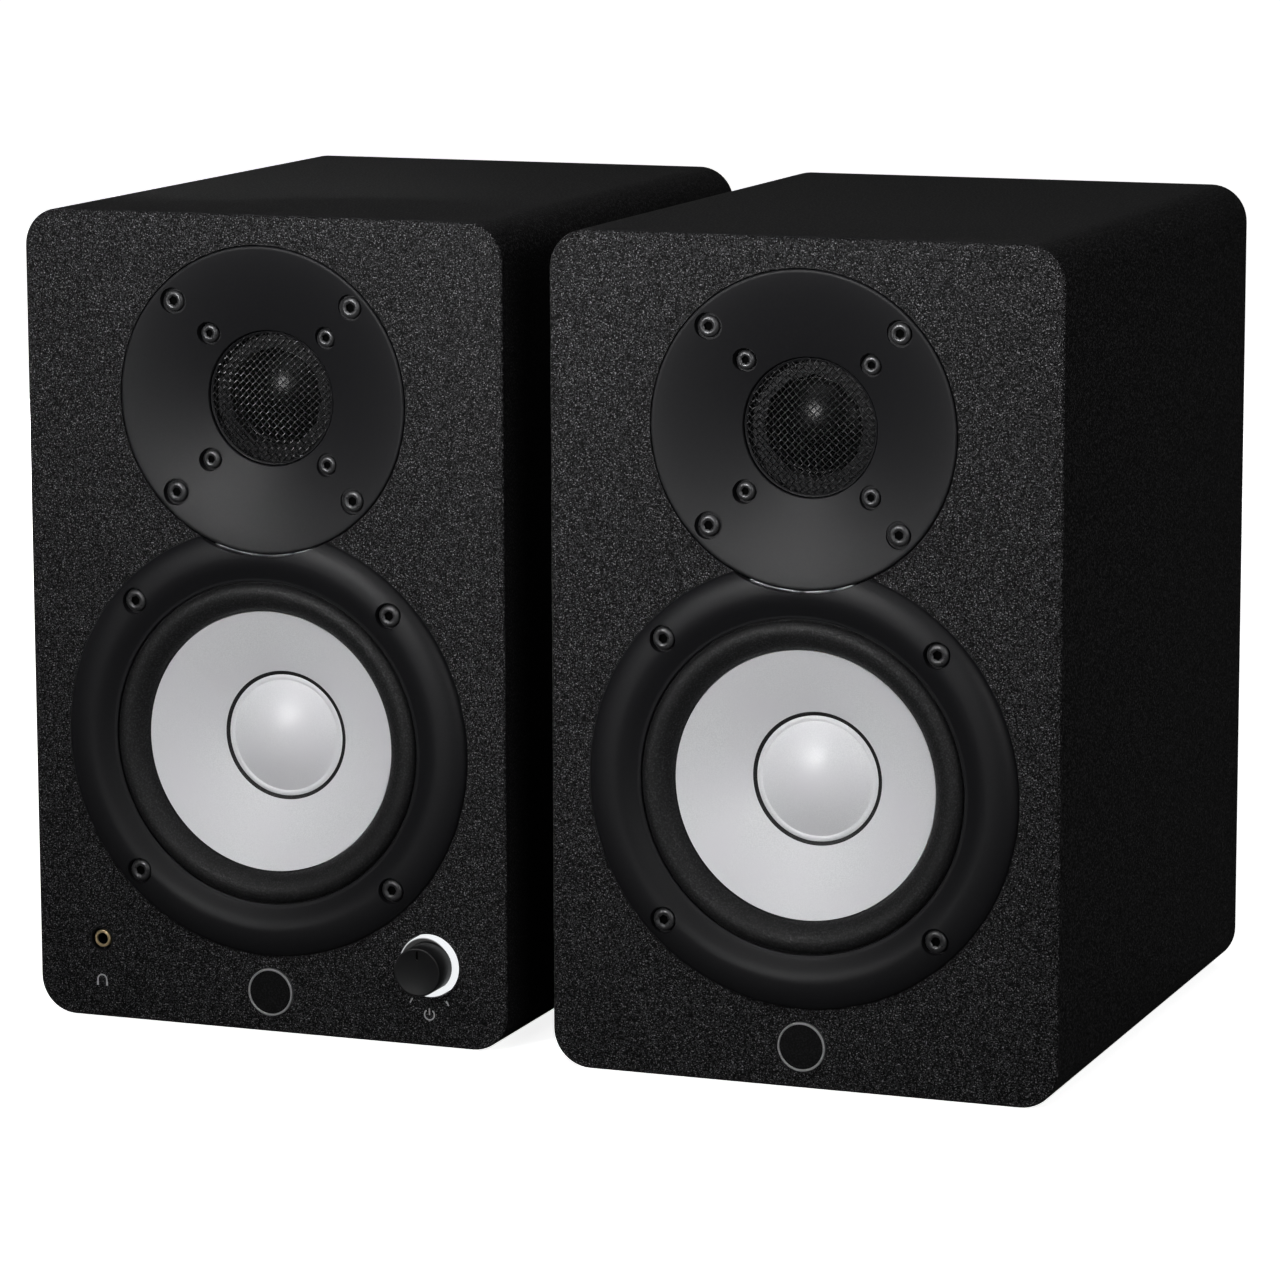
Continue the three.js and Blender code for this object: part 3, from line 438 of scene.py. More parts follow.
def studio_floor():
    """Pale where it is seen, and darker in what it sends back to the cabinets, as under a flag."""
    look = Look("studio_floor", (0.86, 0.86, 0.86), 0.9, specular=0.0)
    look.tint((400, 2), (0.84, 0.84, 0.84))
    seen = look.add("LightPath").outputs["Is Camera Ray"]
    base = look.shader.inputs["Base Color"]
    pale = base.links[0].from_socket
    glow = look.shader.inputs["Emission Color"]
    for socket, source, unseen in ((base, pale, 0.12), (glow, None, 0.0)):
        mix = look.add("Mix", data_type="RGBA")
        mix.inputs[MIX_A].default_value = (unseen, unseen, unseen, 1)
        mix.inputs[MIX_B].default_value = (1, 1, 1, 1)
        if source:
            look.link(source, mix.inputs[MIX_B])
        look.link(seen, mix.inputs[MIX_SHARE])
        look.link(mix.outputs[MIX_RESULT], socket)
    look.set("Emission Strength", 0.86)


def make_looks():
    for row in PLAIN_LOOKS:
        plain_look(*row)
    for name, (colour, darker) in COLOURED_PLASTICS.items():
        plain_look(name, colour, 0.4, [((5, 2), darker)], ((1.5, 2), 0.34, 0.48), ((0.3, 2), 0.01))
    for name, colour in INKS.items():
        worn = tuple(0.8 * part for part in colour)
        plain_look(name, colour, 0.55, [((0.5, 2), worn)], bump=((0.3, 2), 0.006))
    white_cone()
    lit_ring()
    studio_floor()


# ---- One speaker's place and its pieces ---------------------------------------------------------

class Speaker:
    """Where one speaker is, and how a piece of it is made."""

    def __init__(self, side):
        self.side = side
        self.cabinet = f"{side}_cabinet"
        low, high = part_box(f"{side}_front_baffle")
        self.origin = Vector(((low.x + high.x) / 2, low.y, 0))
        self.width, self.board, self.height = (high - low) / MM
        self.depth = self.span("cabinet_shell")[1]

    def corners(self, node):
        return [(corner - self.origin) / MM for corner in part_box(f"{self.side}_{node}")]

    def centre(self, node):
        low, high = self.corners(node)
        return (low.x + high.x) / 2, (low.z + high.z) / 2

    def size(self, node):
        low, high = self.corners(node)
        return high.x - low.x, high.z - low.z

    def span(self, node):
        """Its front and back along y."""
        low, high = self.corners(node)
        return low.y, high.y

    def measures(self, node):
        """Its centre, width, height, front and back."""
        return self.centre(node), *self.size(node), *self.span(node)

    def add(self, name, solid, look, node=None, slot=None, body=None, other=None):
        """Makes a piece that stands for the CAD node named. It rides on the cabinet unless a body is told: ""
        leaves out the ride.
        other is a second look, and a rule that says which faces get it. slot is not used."""
        mesh = mesh_of(f"{self.side}_{name}", solid, MM, self.origin)
        facing_out(mesh)
        mesh.shade_smooth()
        mesh.set_sharp_from_angle(angle=CREASE)
        mesh.materials.append(LOOKS[look])
        if other:
            mesh.materials.append(LOOKS[other[0]])
            for polygon in mesh.polygons:
                polygon.material_index = int(other[1](polygon))
        piece = bpy.data.objects.new(mesh.name, mesh)
        bpy.context.collection.objects.link(piece)
        if body != "":
            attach(piece, body or self.cabinet)
        if node:
            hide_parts(f"{self.side}_{node}")
        return piece

    def add_screw(self, name, head):
        # The socket's faces get the near-black look: painted shade in the socket.
        self.add(name, head, "black_screw", slot="steel", other=("deep_black", in_socket))


def diagonal(centre, circle):
    """Four places at 45 degrees on a circle."""
    reach = circle * math.sqrt(0.5)
    return [(centre[0] + x * reach, centre[1] + z * reach) for x in (-1, 1) for z in (-1, 1)]


# ---- Screws -------------------------------------------------------------------------------------

def hexagon(angle):
    """How far a hexagon with flats at distance 1 reaches at an angle."""
    return 1 / math.cos(angle % (math.pi / 3) - math.pi / 6)


def cross(angle):
    """How far a cross with arms of half width 0.3 reaches at an angle, up to 1.4."""
    side = abs(math.sin(angle % (math.pi / 2)))
    across = min(side, abs(math.cos(angle % (math.pi / 2))))
    return min(1.4, 0.3 / max(across, 0.02))


def in_socket(face):
    """The faces between a screw head's first two rings, and the cap over the first."""
    return max(face.vertices) < 2 * FINE


# From the crest round the socket out to the rim: the share of the way, and the drop in millimetres.
SCREW_SHOULDER = ((0.16, 0.05), (0.36, 0), (0.58, 0.07), (0.80, 0.28), (0.94, 0.58))


def screw(centre, foot, radius, height, socket, flat, turn):
    """A screw head that stands out from its foot by its height, with a socket of a shape and size."""
    top = foot - height

    def ring(reach, y, shape=None):
        points = []
        for step in range(FINE):
            angle = 2 * math.pi * step / FINE
            length = reach * (shape(angle - turn) if shape else 1)
            points.append((centre[0] + length * math.cos(angle), y, centre[1] + length * math.sin(angle)))
        return points

    depth = min(0.85 * height, 1.2 * flat)
    crest = flat * 1.16
    shoulder = radius - crest
    return skin([
        ring(flat * 0.94, top + depth, socket),
        ring(flat, top + 0.35, socket),
        ring(crest, top + 0.22),
        *[ring(crest + share * shoulder, top + drop) for share, drop in SCREW_SHOULDER],
        ring(radius, top + 0.95),
        ring(radius, foot),
    ])


# ---- Cabinet ------------------------------------------------------------------------------------

CABINET = SimpleNamespace(corner=11.0, wall=9.0, inner_corner=3.0, edge=0.8)
FIT = 0.3  # between pieces that fit inside each other


def cabinet(speaker):
    """The folded shell of board under its film, with a small radius along its back end."""
    front, back = speaker.span("cabinet_shell")
    wall, edge = CABINET.wall, 0.6
    middle = (0, speaker.height / 2)

    def outside(inset):
        size = (speaker.width - 2 * inset, speaker.height - 2 * inset)
        return rectangle(*size, CABINET.corner - inset, middle, 12)

    inside = rectangle(speaker.width - 2 * wall, speaker.height - 2 * wall, CABINET.inner_corner, middle, 12)
    shell = loft([
        (outside(0), front),
        (outside(0), back - edge),
        (outside(0.3 * edge), back - 0.3 * edge),
        (outside(edge), back),
        (inside, back),
        (inside, front),
    ], closed=True)
    speaker.add("cabinet_wrap", shell, "cabinet_film", node="cabinet_shell")


def front_board(speaker, cuts, guide_recess):
    """The front board: its speckled face has a softly rounded edge all round."""
    width, height, corner = speaker.width, speaker.height, CABINET.corner
    edge = CABINET.edge
    sections = []
    for step in range(6):
        angle = step / 5 * math.pi / 2
        inset = edge * (1 - math.sin(angle))
        outline = rectangle(width - 2 * inset, height - 2 * inset, corner - inset, (0, height / 2), 12)
        sections.append((outline, edge * (1 - math.cos(angle))))
    sections.append((rectangle(width, height, corner, (0, height / 2), 12), speaker.board))
    board = cut(cut(loft(sections), *cuts), guide_recess)
    speaker.add("front_board", board, "front_paint", node="front_baffle",
                other=("cabinet_film", lambda face: face.normal.y > -0.4))


def bass_port(speaker):
    """The flared mouth of the port and its tube."""
    front, back = speaker.span("port_tube")
    centre = speaker.centre("port_tube")
    bore, wall, mouth, flange, seat = 14.0, 2.0, 21.0, speaker.size("port_tube")[1] / 2, speaker.depth
    flare_from = seat - 12
    flare = [(bore + (mouth - bore) * share**3, flare_from + share * (back - flare_from))
             for share in spaced(0, 1, 16)]
    outside = rounded([(mouth, back), (flange, back), (flange, seat)], [0, 0.6, 0])
    sleeve = [(mouth, seat), (mouth, seat - 2), (bore + wall, seat - 8), (bore + wall, front), (bore, front)]
    speaker.add("bass_port", turned(flare + outside[1:] + sleeve, centre, 96), "moulded_black",
                node="port_tube")


# ---- Woofer -------------------------------------------------------------------------------------

WOOFER = SimpleNamespace(
    surround=47.6, ring=63.3, crest=55.5, proud=3.5, screws=56.9,
    pocket=3.9, pocket_floor=-1.0, head=3.25,
    lip=4.0, rubber=0.8, roll=3.4, cone=38.4, cone_y=2.4,
    neck=18.9, neck_y=13.5, cap=18.0, dome=16.1, dome_height=5.0, skin=0.6,
)


def woofer_trim(speaker, centre, tweeter):
    """The moulded ring: a soft shoulder, a concave inner side, and a bead where it meets the rubber."""
    ring, crest, inner, proud = WOOFER.ring, WOOFER.crest, WOOFER.surround, WOOFER.proud
    bead = inner + 0.9

    def shoulder(radius):
        share = (radius - crest) / (ring - crest)
        return -proud * math.sqrt(max(0, 1 - share**2))

    def fall(radius):
        share = (crest - radius) / (crest - bead)
        return -0.9 - (proud - 0.9) * math.cos(share * math.pi / 2) ** 1.15

    roll = sweep(ring, ring - 0.8, 6, shoulder) + sweep(ring - 0.8, crest, 14, shoulder)[1:]
    roll += sweep(crest, bead, 18, fall)[1:]
    lip = [(inner + 0.55, -0.95), (inner + 0.2, -0.8), (inner + 0.02, -0.4), (inner, 0)]
    body = turned(roll + lip, centre)
    tools = [disc(TWEETER.radius + FIT, -20, TWEETER.plate, tweeter, steps=ROUND)]
    foot = WOOFER.pocket_floor
    places = diagonal(centre, WOOFER.screws)
    tools += [disc(WOOFER.pocket, -20, foot, place) for place in places]
    speaker.add("woofer_trim", cut(body, *tools), "moulded_black", node="woofer_ring")
    for number, place in enumerate(places, 1):
        head = screw(place, foot, WOOFER.head, 1.9, hexagon, 1.25, turn=0.7 * number)
        speaker.add_screw(f"woofer_screw_{number}", head)


def surround_arch(offset, inner, outer):
    middle, reach = (outer + inner) / 2, (outer - inner) / 2

    def y(radius):
        base = WOOFER.cone_y * (outer - radius) / (outer - inner)
        return base + offset - WOOFER.roll * math.sqrt(max(0, 1 - ((radius - middle) / reach) ** 2))
    return y


def woofer_surround(speaker, centre):
    """The rubber half roll, with a flat foot that is glued to the cone's edge."""
    inner, outer, rubber = WOOFER.cone + FIT, WOOFER.surround - FIT, WOOFER.rubber
    front = surround_arch(0, inner, outer)
    back = surround_arch(rubber, inner, outer)

    def arc(rule):
        """Close steps where the roll is steep."""
        middle, reach = (outer + inner) / 2, (outer - inner) / 2
        radii = [middle - reach * math.cos(angle) for angle in spaced(0, math.pi, 24)]
        return [(radius, rule(radius)) for radius in radii]

    edge = WOOFER.surround + WOOFER.lip
    profile = arc(front) + [(edge, 0.05), (edge, rubber)] + arc(back)[::-1]
    piece = speaker.add("surround_roll", turned(profile, centre), "rubber", node="woofer_surround", body="")
    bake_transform(piece)


def cone_depth(radius):
    share = (WOOFER.cone - radius) / (WOOFER.cone - WOOFER.neck)
    return WOOFER.cone_y + (WOOFER.neck_y - WOOFER.cone_y) * (0.9 * share + 0.1 * share**2)


def woofer_cone(speaker, centre):
    """The pale cone, and the dust cap with its flat rim and the step where its dome starts."""
    body = f"{speaker.side}_woofer_cone_body"
    neck = 16.2
    front = sweep(WOOFER.cone, neck, 28, cone_depth)
    back = [(radius, y + WOOFER.skin) for radius, y in front[::-1]]
    speaker.add("paper_cone", turned(front + back, centre), "white_cone", node="woofer_cone", body=body)
    rim = speaker.span("woofer_dust_cap")[1] - 0.4
    dome, cap, height = WOOFER.dome, WOOFER.cap, WOOFER.dome_height

    def crown(radius):
        return rim - height * (1 - (radius / dome) ** 2)

    top = sweep(0, dome, 26, crown)
    step = [(dome + 0.35, rim + 0.12), (dome + 0.8, rim - 0.1)]
    edge = [(cap - 0.3, rim - 0.08), (cap, rim + 0.1), (cap, rim + 0.4)]
    under = [(radius, y + WOOFER.skin) for radius, y in sweep(dome - 0.5, 0, 16, crown)]
    speaker.add("dust_cap", turned(top + step + edge + under, centre), "white_cone",
                node="woofer_dust_cap", body=body)
    # A thin dark ring, in the rubber look, between the cap's edge and the cone.
    cap_ring = turned([(cap + 0.04, rim + 0.05), (WOOFER.neck + 0.25, cone_depth(WOOFER.neck + 0.25) - 0.06),
                     (WOOFER.neck + 0.25, cone_depth(WOOFER.neck + 0.25) - 0.01),
                     (cap + 0.04, cone_depth(cap + 0.04) - 0.02)], centre)
    speaker.add("cap_edge_ring", cap_ring, "rubber", body=body)


# ---- Tweeter ------------------------------------------------------------------------------------

TWEETER = SimpleNamespace(
    radius=44.7, proud=0.4, plate=2.6, throat=19.7, throat_y=6.2, flare=1.3,
    collar=31.5, collar_y=9.7, hub=36.4,
    grille_y=7.2, grille_height=4.6, dome=12.7, dome_y=12.4, dome_height=3.6,
)
# Their circle, the pocket's radius and depth, the head's radius and height, and its socket's flats.
GUIDE_SCREWS = (("outer", 39.4, 3.9, 1.2, 3.15, 1.35, 1.2), ("inner", 26.0, 3.4, 1.6, 2.75, 1.5, 1.0))


def dish_depth(radius):
    share = max(0, (TWEETER.radius - radius) / (TWEETER.radius - TWEETER.throat))
    return -TWEETER.proud + (TWEETER.throat_y + TWEETER.proud) * share ** TWEETER.flare


def waveguide(speaker, centre):
    """The dished plate and its eight screws. The clamping ring that holds the grille in its throat is made
    with the grille.
    """
    radius, throat, plate = TWEETER.radius, TWEETER.throat, TWEETER.plate
    rim = [(radius, 0.2), (radius - 0.06, -0.1), (radius - 0.22, -0.3),
           (radius - 0.5, dish_depth(radius - 0.5) - 0.04)]
    dish = sweep(radius - 1.2, throat + 0.5, 40, dish_depth)
    lip_y = dish_depth(throat + 0.5)
    lip = [(throat + 0.2, lip_y + 0.1), (throat, lip_y + 0.4)]
    collar, hub = TWEETER.collar, TWEETER.hub
    behind = [(throat, TWEETER.collar_y), (collar, TWEETER.collar_y), (collar, dish_depth(collar) + plate),
              (hub, dish_depth(hub) + plate), (hub, plate), (radius, plate)]
    body = turned(rim + dish + lip + behind, centre)
    tools, heads = [], []
    for kind, circle, pocket, deep, head_radius, tall, flat in GUIDE_SCREWS:
        foot = dish_depth(circle) + deep
        for number, place in enumerate(diagonal(centre, circle), 1):
            tools.append(disc(pocket, -5, foot, place))
            head = screw(place, foot, head_radius, tall, hexagon, flat, turn=0.9 * number)
            heads.append((f"{kind}_guide_screw_{number}", head))
    speaker.add("waveguide_plate", cut(body, *tools), "moulded_black", node="tweeter_waveguide")
    for name, head in heads:
        speaker.add_screw(name, head)


def grille(speaker, centre):
    """A domed weave of round wires at 45 degrees, each over and under the ones that it crosses."""
    edge = TWEETER.throat - FIT
    pitch, radius, wave = 1.5, 0.2, 0.2
    reach = edge - radius
    count = int(reach / pitch)
    strands = []
    for family, slant in enumerate((math.pi / 4, -math.pi / 4)):
        for strand in range(-count, count + 1):
            aside = strand * pitch
            length = math.sqrt(max(0, reach**2 - aside**2))
            if length < pitch:
                continue
            steps = max(8, int(2 * length / 0.3))
            path = []
            for step in range(steps + 1):
                along = -length + 2 * length * step / steps
                dome = 1 - (aside**2 + along**2) / edge**2
                lift = wave * math.cos(math.pi * along / pitch) * (-1) ** (strand + family)
                x = aside * math.cos(slant) - along * math.sin(slant)
                z = aside * math.sin(slant) + along * math.cos(slant)
                y = TWEETER.grille_y + 0.3 - TWEETER.grille_height * dome + lift
                path.append((centre[0] + x, y, centre[1] + z))
            strands.append(wire(path, radius))
    speaker.add("woven_grille", joined(*strands), "black_mesh", node="tweeter_grille")
    y = TWEETER.grille_y
    clamp = rounded([(edge - 0.7, y), (edge, y - 0.5), (edge, y + 0.9), (edge - 0.7, y + 0.9)], 0.2)
    speaker.add("grille_clamp", turned(clamp, centre), "moulded_black")


def tweeter_dome(speaker, centre):
    """The silk dome, its half-roll edge and flat flange, and its coil."""
    radius, y0, height = TWEETER.dome, TWEETER.dome_y, TWEETER.dome_height
    roll, flange, skin_depth = 1.1, radius + 1.6, 0.4

    def crown(offset):
        return lambda r: y0 + offset - height * (1 - (r / radius) ** 2)

    arch = [(radius + roll / 2 - roll / 2 * math.cos(angle), y0 - 0.5 * math.sin(angle))
            for angle in spaced(0, math.pi, 8)[1:-1]]
    outside = [(radius + roll, y0), (flange, y0), (flange, y0 + skin_depth), (radius + 0.2, y0 + skin_depth)]
    coil = [(radius + 0.2, y0 + 6.6), (radius - 0.4, y0 + 6.6)]
    profile = sweep(0, radius, 24, crown(0)) + arch + outside + coil
    profile += sweep(radius - 0.4, 0, 16, crown(skin_depth))
    speaker.add("silk_dome", turned(profile, centre, 96), "dome_silk", node="tweeter_dome",
                body=f"{speaker.side}_tweeter_dome_body")


# ---- Badge and front controls -------------------------------------------------------------------

def badge(speaker):
    """A plain round badge: a dark disc with a bright rim."""
    centre, _, height, front, back = speaker.measures("badge")
    radius, sunk = height / 2, front + 0.2
    plate = [(0, sunk), (radius - 0.68, sunk), (radius - 0.68, back), (0, back)]
    rim = pipe(radius - 0.65, radius, front, back, centre, 0.14, 96)
    speaker.add("badge_disc", turned(plate, centre, 96), "badge_face", node="badge", slot="badge_metal")
    speaker.add("badge_rim", rim, "badge_metal")


KNOB = SimpleNamespace(radius=7.2, skirt=1.5, bore=3.1, bore_end=-3.0)


def volume_knob(speaker):
    """The knob with its pointer slot, and the lit ring round it."""
    centre = speaker.centre("volume_knob")
    front = speaker.span("volume_knob")[0]
    radius = KNOB.radius
    top = [(0, front + 0.15), (radius - 1.1, front + 0.15), (radius - 0.75, front + 0.02),
           (radius - 0.45, front)]
    side = [(radius - 0.12, front + 0.12), (radius, front + 0.45), (radius, KNOB.skirt)]
    bore = [(KNOB.bore, KNOB.skirt), (KNOB.bore, KNOB.bore_end), (0, KNOB.bore_end)]
    body = turned(top + side + bore, centre, 96)
    place = (centre[0], centre[1] + radius - 2.2)
    slot = slab(0.8, 2.6, 0.2, front - 1, front + 0.7, place, edge=0)
    speaker.add("knob_cap", cut(body, slot), "knob_black", node="volume_knob", body="volume_knob")
    # The slot's floor is a near-black piece: painted shade at the bottom of the slot.
    pointer = slab(0.78, 2.58, 0.2, front + 0.35, front + 0.69, place, edge=0)
    speaker.add("knob_slot_shade", pointer, "deep_black", slot="knob_black", body="volume_knob")
    inner, outer = radius + 0.15, speaker.size("light_ring")[1] / 2
    start, end = speaker.span("light_ring")
    ring = pipe(inner, outer, start, end, centre, 0.3, 96)
    speaker.add("glow_ring", ring, "lit_ring", node="light_ring")


PHONES = SimpleNamespace(recess=3.65, deep=2.5, nose=2.6, hole=1.75, nose_y=0.6)


def phones_socket(speaker, centre):
    """The headphone socket: a gold nose in a dark recess, with its body behind the board."""
    front, back = PHONES.nose_y, speaker.board
    end = speaker.span("headphone_jack")[1]
    hole, nose = PHONES.hole, PHONES.nose
    speaker.add("phones_nose", pipe(hole, nose, front, back, centre, [0.15, 0.35, 0, 0], 64), "socket_brass",
                node="headphone_jack")
    # The liner is a socket-black part drawn near black: painted shade inside the hole.
    liner = pipe(hole - 0.25, hole - 0.02, front + 0.5, back, centre, 0.05, 64)
    speaker.add("phones_liner", liner, "deep_black", slot="socket_black")
    collar = pipe(3.4, 3.62, 0.12, 1.2, centre, 0.08, 64)
    speaker.add("phones_collar", collar, "moulded_black", slot="socket_black")
    width, height = speaker.size("headphone_jack")
    body = slab(width, height, 0.6, back, end, centre, 0.3, 0.3)
    bore = disc(PHONES.hole, back - 1, end - 1, centre)
    speaker.add("phones_body", cut(body, bore), "socket_black")


def front_marks(speaker, knob, phones):
    """Printed marks: two end marks and a power symbol by the knob, and a headphone symbol."""
    face, ink, line = -0.03, "front_ink", 0.42
    arc = [(knob[0] + 1.55 * math.sin(angle), knob[1] - 14.5 + 1.55 * math.cos(angle))
           for angle in [math.radians(38 + 284 * step / 28) for step in range(29)]]
    stem = [(knob[0], knob[1] - 12.6), (knob[0], knob[1] - 14.6)]
    strokes = [ribbon(arc, line, face, 0.2), ribbon(stem, line, face - 0.002, 0.2)]
    for side in (-1, 1):
        near = (knob[0] + side * 5.3, knob[1] - 10.0)
        far = (knob[0] + side * 6.1, knob[1] - 11.4)
        strokes.append(ribbon([near, far], line, face, 0.2))
    speaker.add("knob_marks", joined(*strokes), ink, slot="front_paint")
    x, z = phones[0], phones[1] - 12.4
    band = [(x - 1.45 * math.cos(angle), z + 0.15 + 1.45 * math.sin(angle))
            for angle in spaced(0, math.pi, 20)]
    band = [(x - 1.45, z - 1.3)] + band + [(x + 1.45, z - 1.3)]
    strokes = [ribbon(band, line, face, 0.2)]
    for side in (-1, 1):
        cup = x + side * 1.5
        strokes.append(ribbon([(cup, z - 0.45), (cup, z - 1.65)], 0.62, face - 0.002, 0.2))
    speaker.add("phones_mark", joined(*strokes), ink, slot="front_paint")


# ---- The back of the powered speaker ------------------------------------------------------------

SCREW_INSET = 4.6
SLIDERS = {"high_trim_slider": "high_trim", "room_control_slider": "room_control"}  # each on its own body


def amp_panel(speaker):
    """The amplifier's plate with its openings, screws and printed lines."""
    centre, width, height, front, back = speaker.measures("amp_panel")
    plate = slab(width, height, 5, front, back, centre, 0.0, 0.5)
    tools = []

    def round_hole(node, radius):
        tools.append(disc(radius, front - 1, back + 1, speaker.centre(node)))

    def square_hole(node, wide, tall, corner=0.3):
        tools.append(slab(wide, tall, corner, front - 1, back + 1, speaker.centre(node), 0))

    for number in (1, 2):
        round_hole(f"combo_jack_{number}", 12.1)
    for node in SLIDERS:
        wide, tall = speaker.size(node)
        square_hole(node, wide + 2 * 3.3, tall + 0.6, 0.4)
    wide, tall = speaker.size("phono_jacks")
    square_hole("phono_jacks", wide + 0.6, tall + 0.6)
    round_hole("mini_jack", 4.2)
    wide, tall = speaker.size("power_inlet")
    square_hole("power_inlet", wide - 4, tall - 4)
    square_hole("terminal_block", 36.6, 24.6)
    speaker.add("rear_plate", cut(plate, *tools), "panel_paint", node="amp_panel")

    reach_x, reach_z = width / 2 - SCREW_INSET, height / 2 - SCREW_INSET
    places = [(x * reach_x, z * reach_z) for x in (-1, 0, 1) for z in (-1, 1)]
    places += [(x * reach_x, z * reach_z / 3) for x in (-1, 1) for z in (-1, 1)]
    rear_screws(speaker, "panel_screw", [(x, centre[1] + z) for x, z in places], back, 3.1)
    panel_marks(speaker, back)


def rear_screws(speaker, name, places, face, radius):
    """Cross-head screws that face backwards."""
    for number, place in enumerate(places, 1):
        vertices, faces = screw(place, 0, radius, 1.5, cross, 1.25, turn=0.5 * number)
        speaker.add_screw(f"{name}_{number}", ([(x, face - y, z) for x, y, z in vertices], faces))


def panel_marks(speaker, face):
    """Thin printed frames round what belongs together, and ticks at the sliders' stops."""
    lines = []
    top, bottom = face - 0.2, face + 0.03

    def frame_round(low, high):
        outline = rectangle(high[0] - low[0], high[1] - low[1], 2.5,
                            ((low[0] + high[0]) / 2, (low[1] + high[1]) / 2), 5)
        outline.append(outline[0])
        lines.append(ribbon(outline, 0.35, top, bottom))

    def corner(node, side):
        low, high = speaker.corners(node)
        return (low.x, low.z) if side < 0 else (high.x, high.z)

    left, right = corner("combo_jack_1", -1), corner("combo_jack_2", 1)
    bottom_z = corner("phono_jacks", -1)[1]
    frame_round((left[0] - 4, bottom_z - 4), (right[0] + 4, right[1] + 1.8))
    for node in SLIDERS:
        x, z = speaker.centre(node)
        for stop in (-3, 0, 3):
            lines.append(ribbon([(x + stop, z + 3.4), (x + stop, z + 5.2)], 0.35, top, bottom))
    for node in ("terminal_block", "power_inlet"):
        low, high = corner(node, -1), corner(node, 1)
        frame_round((low[0] - 1.6, low[1] - 1.6), (high[0] + 1.6, high[1] + 1.6))
    speaker.add("panel_marks", joined(*lines), "panel_ink", slot="panel_paint")


def combo_socket(speaker, number):
    """A combination socket: a flange with two screws, a round mouth, and an insert with its holes."""
    node = f"combo_jack_{number}"
    centre, width, height, front, back = speaker.measures(node)
    seat = back - 2
    flange = slab(width, height, 4, seat, back, centre, 0.0, 0.7)
    barrel_profile = [(9.6, back - 0.4), (11.4, back - 0.4), (11.8, seat + 0.1), (11.8, front), (9.6, front)]
    shell = turned(barrel_profile, centre, 64)
    speaker.add(f"combo_barrel_{number}", shell, "socket_black")
    flange = cut(flange, disc(11.82, seat - 1, back + 1, centre))
    speaker.add(f"combo_flange_{number}", flange, "socket_black", node=node)
    rim = pipe(9.7, 10.5, back - 0.6, back - 0.15, centre, 0.15, 64)
    speaker.add(f"combo_rim_{number}", rim, "steel")
    insert = disc(9.3, front + 2, back - 4.5, centre)
    holes = [disc(3.3, front + 3, back, centre)]
    for angle in (-60, 60, 180):
        x, z = 6.4 * math.sin(math.radians(angle)), 6.4 * math.cos(math.radians(angle))
        holes.append(disc(1.35, front + 8, back, (centre[0] + x, centre[1] + z), steps=24))
    speaker.add(f"combo_insert_{number}", cut(insert, *holes), "socket_black")
    brass = pipe(2.5, 3.2, front + 4, back - 6, centre, 0.1, 32)
    speaker.add(f"combo_contact_{number}", brass, "steel")
    tab = slab(5.2, 3.0, 0.8, back - 0.4, back + 0.0, (centre[0], centre[1] + height / 2 - 2.6), 0.0, 0.15)
    speaker.add(f"combo_release_{number}", tab, "steel")
    places = [(centre[0] + x * (width / 2 - 3.6), centre[1] + x * (height / 2 - 3.8)) for x in (-1, 1)]
    rear_screws(speaker, f"combo_screw_{number}", places, back - 1.0, 1.9)


def phono_sockets(speaker):
    """Two phono sockets with metal sleeves, colour rings and centre contacts, in one block."""
    centre, width, height, front, back = speaker.measures("phono_jacks")
    face = back - 9
    block = slab(width, height, 0.8, front, face, centre, 0.3, 0.4)
    speaker.add("phono_block", block, "socket_black", node="phono_jacks")
    for side, colour in ((-1, "plug_white"), (1, "plug_red")):
        place = (centre[0] + side * 7.5, centre[1])
        name = colour.split("_")[1]
        collar = pipe(3.5, 5.4, face, face + 1.3, place, 0.3)
        sleeve = pipe(3.45, 4.15, face, back, place, [0, 0, 0.25, 0.25], 64)
        core = pipe(1.7, 3.43, face, back - 0.9, place, 0.2)
        contact = pipe(1.35, 1.68, face, back - 1.2, place, 0.05, 32)
        speaker.add(f"phono_collar_{name}", collar, colour, slot="")
        speaker.add(f"phono_sleeve_{name}", sleeve, "steel")
        speaker.add(f"phono_core_{name}", core, colour, slot="")
        speaker.add(f"phono_contact_{name}", contact, "socket_brass")


def mini_socket(speaker):
    """The 3.5 mm input: a threaded collar with its nut, and the body behind the plate."""
    centre, size, _, front, back = speaker.measures("mini_jack")
    seat = back - 4
    body = cut(slab(size, size, 0.6, front, seat, centre, 0.3, 0.3), disc(1.8, seat - 8, seat + 1, centre))
    speaker.add("mini_body", body, "socket_black", node="mini_jack")
    speaker.add("mini_collar", pipe(1.8, 3.85, seat, back, centre, [0, 0, 0.3, 0.3], 64), "steel")
    speaker.add("mini_insert", pipe(1.25, 1.78, seat, back - 0.3, centre, 0.1, 32), "socket_black")


def slide_switch(speaker, node, body):
    """A slide switch: its ribbed cap, and the dark well that the cap moves in."""
    centre, width, height, front, back = speaker.measures(node)
    cap = slab(width, height, 0.5, front, back, centre, 0.2, 0.35)
    grooves = [slab(0.45, height + 1, 0.1, back - 0.5, back + 1, (centre[0] + place, centre[1]), 0)
               for place in (-1.8, -0.9, 0, 0.9, 1.8)]
    speaker.add(f"{node}_cap", cut(cap, *grooves), "socket_black", node=node, body=body)
    well = slab(width + 6.4, height + 0.5, 0.4, front - 1.6, front - 0.4, centre, 0, 0)
    speaker.add(f"{node}_well", well, "socket_black")


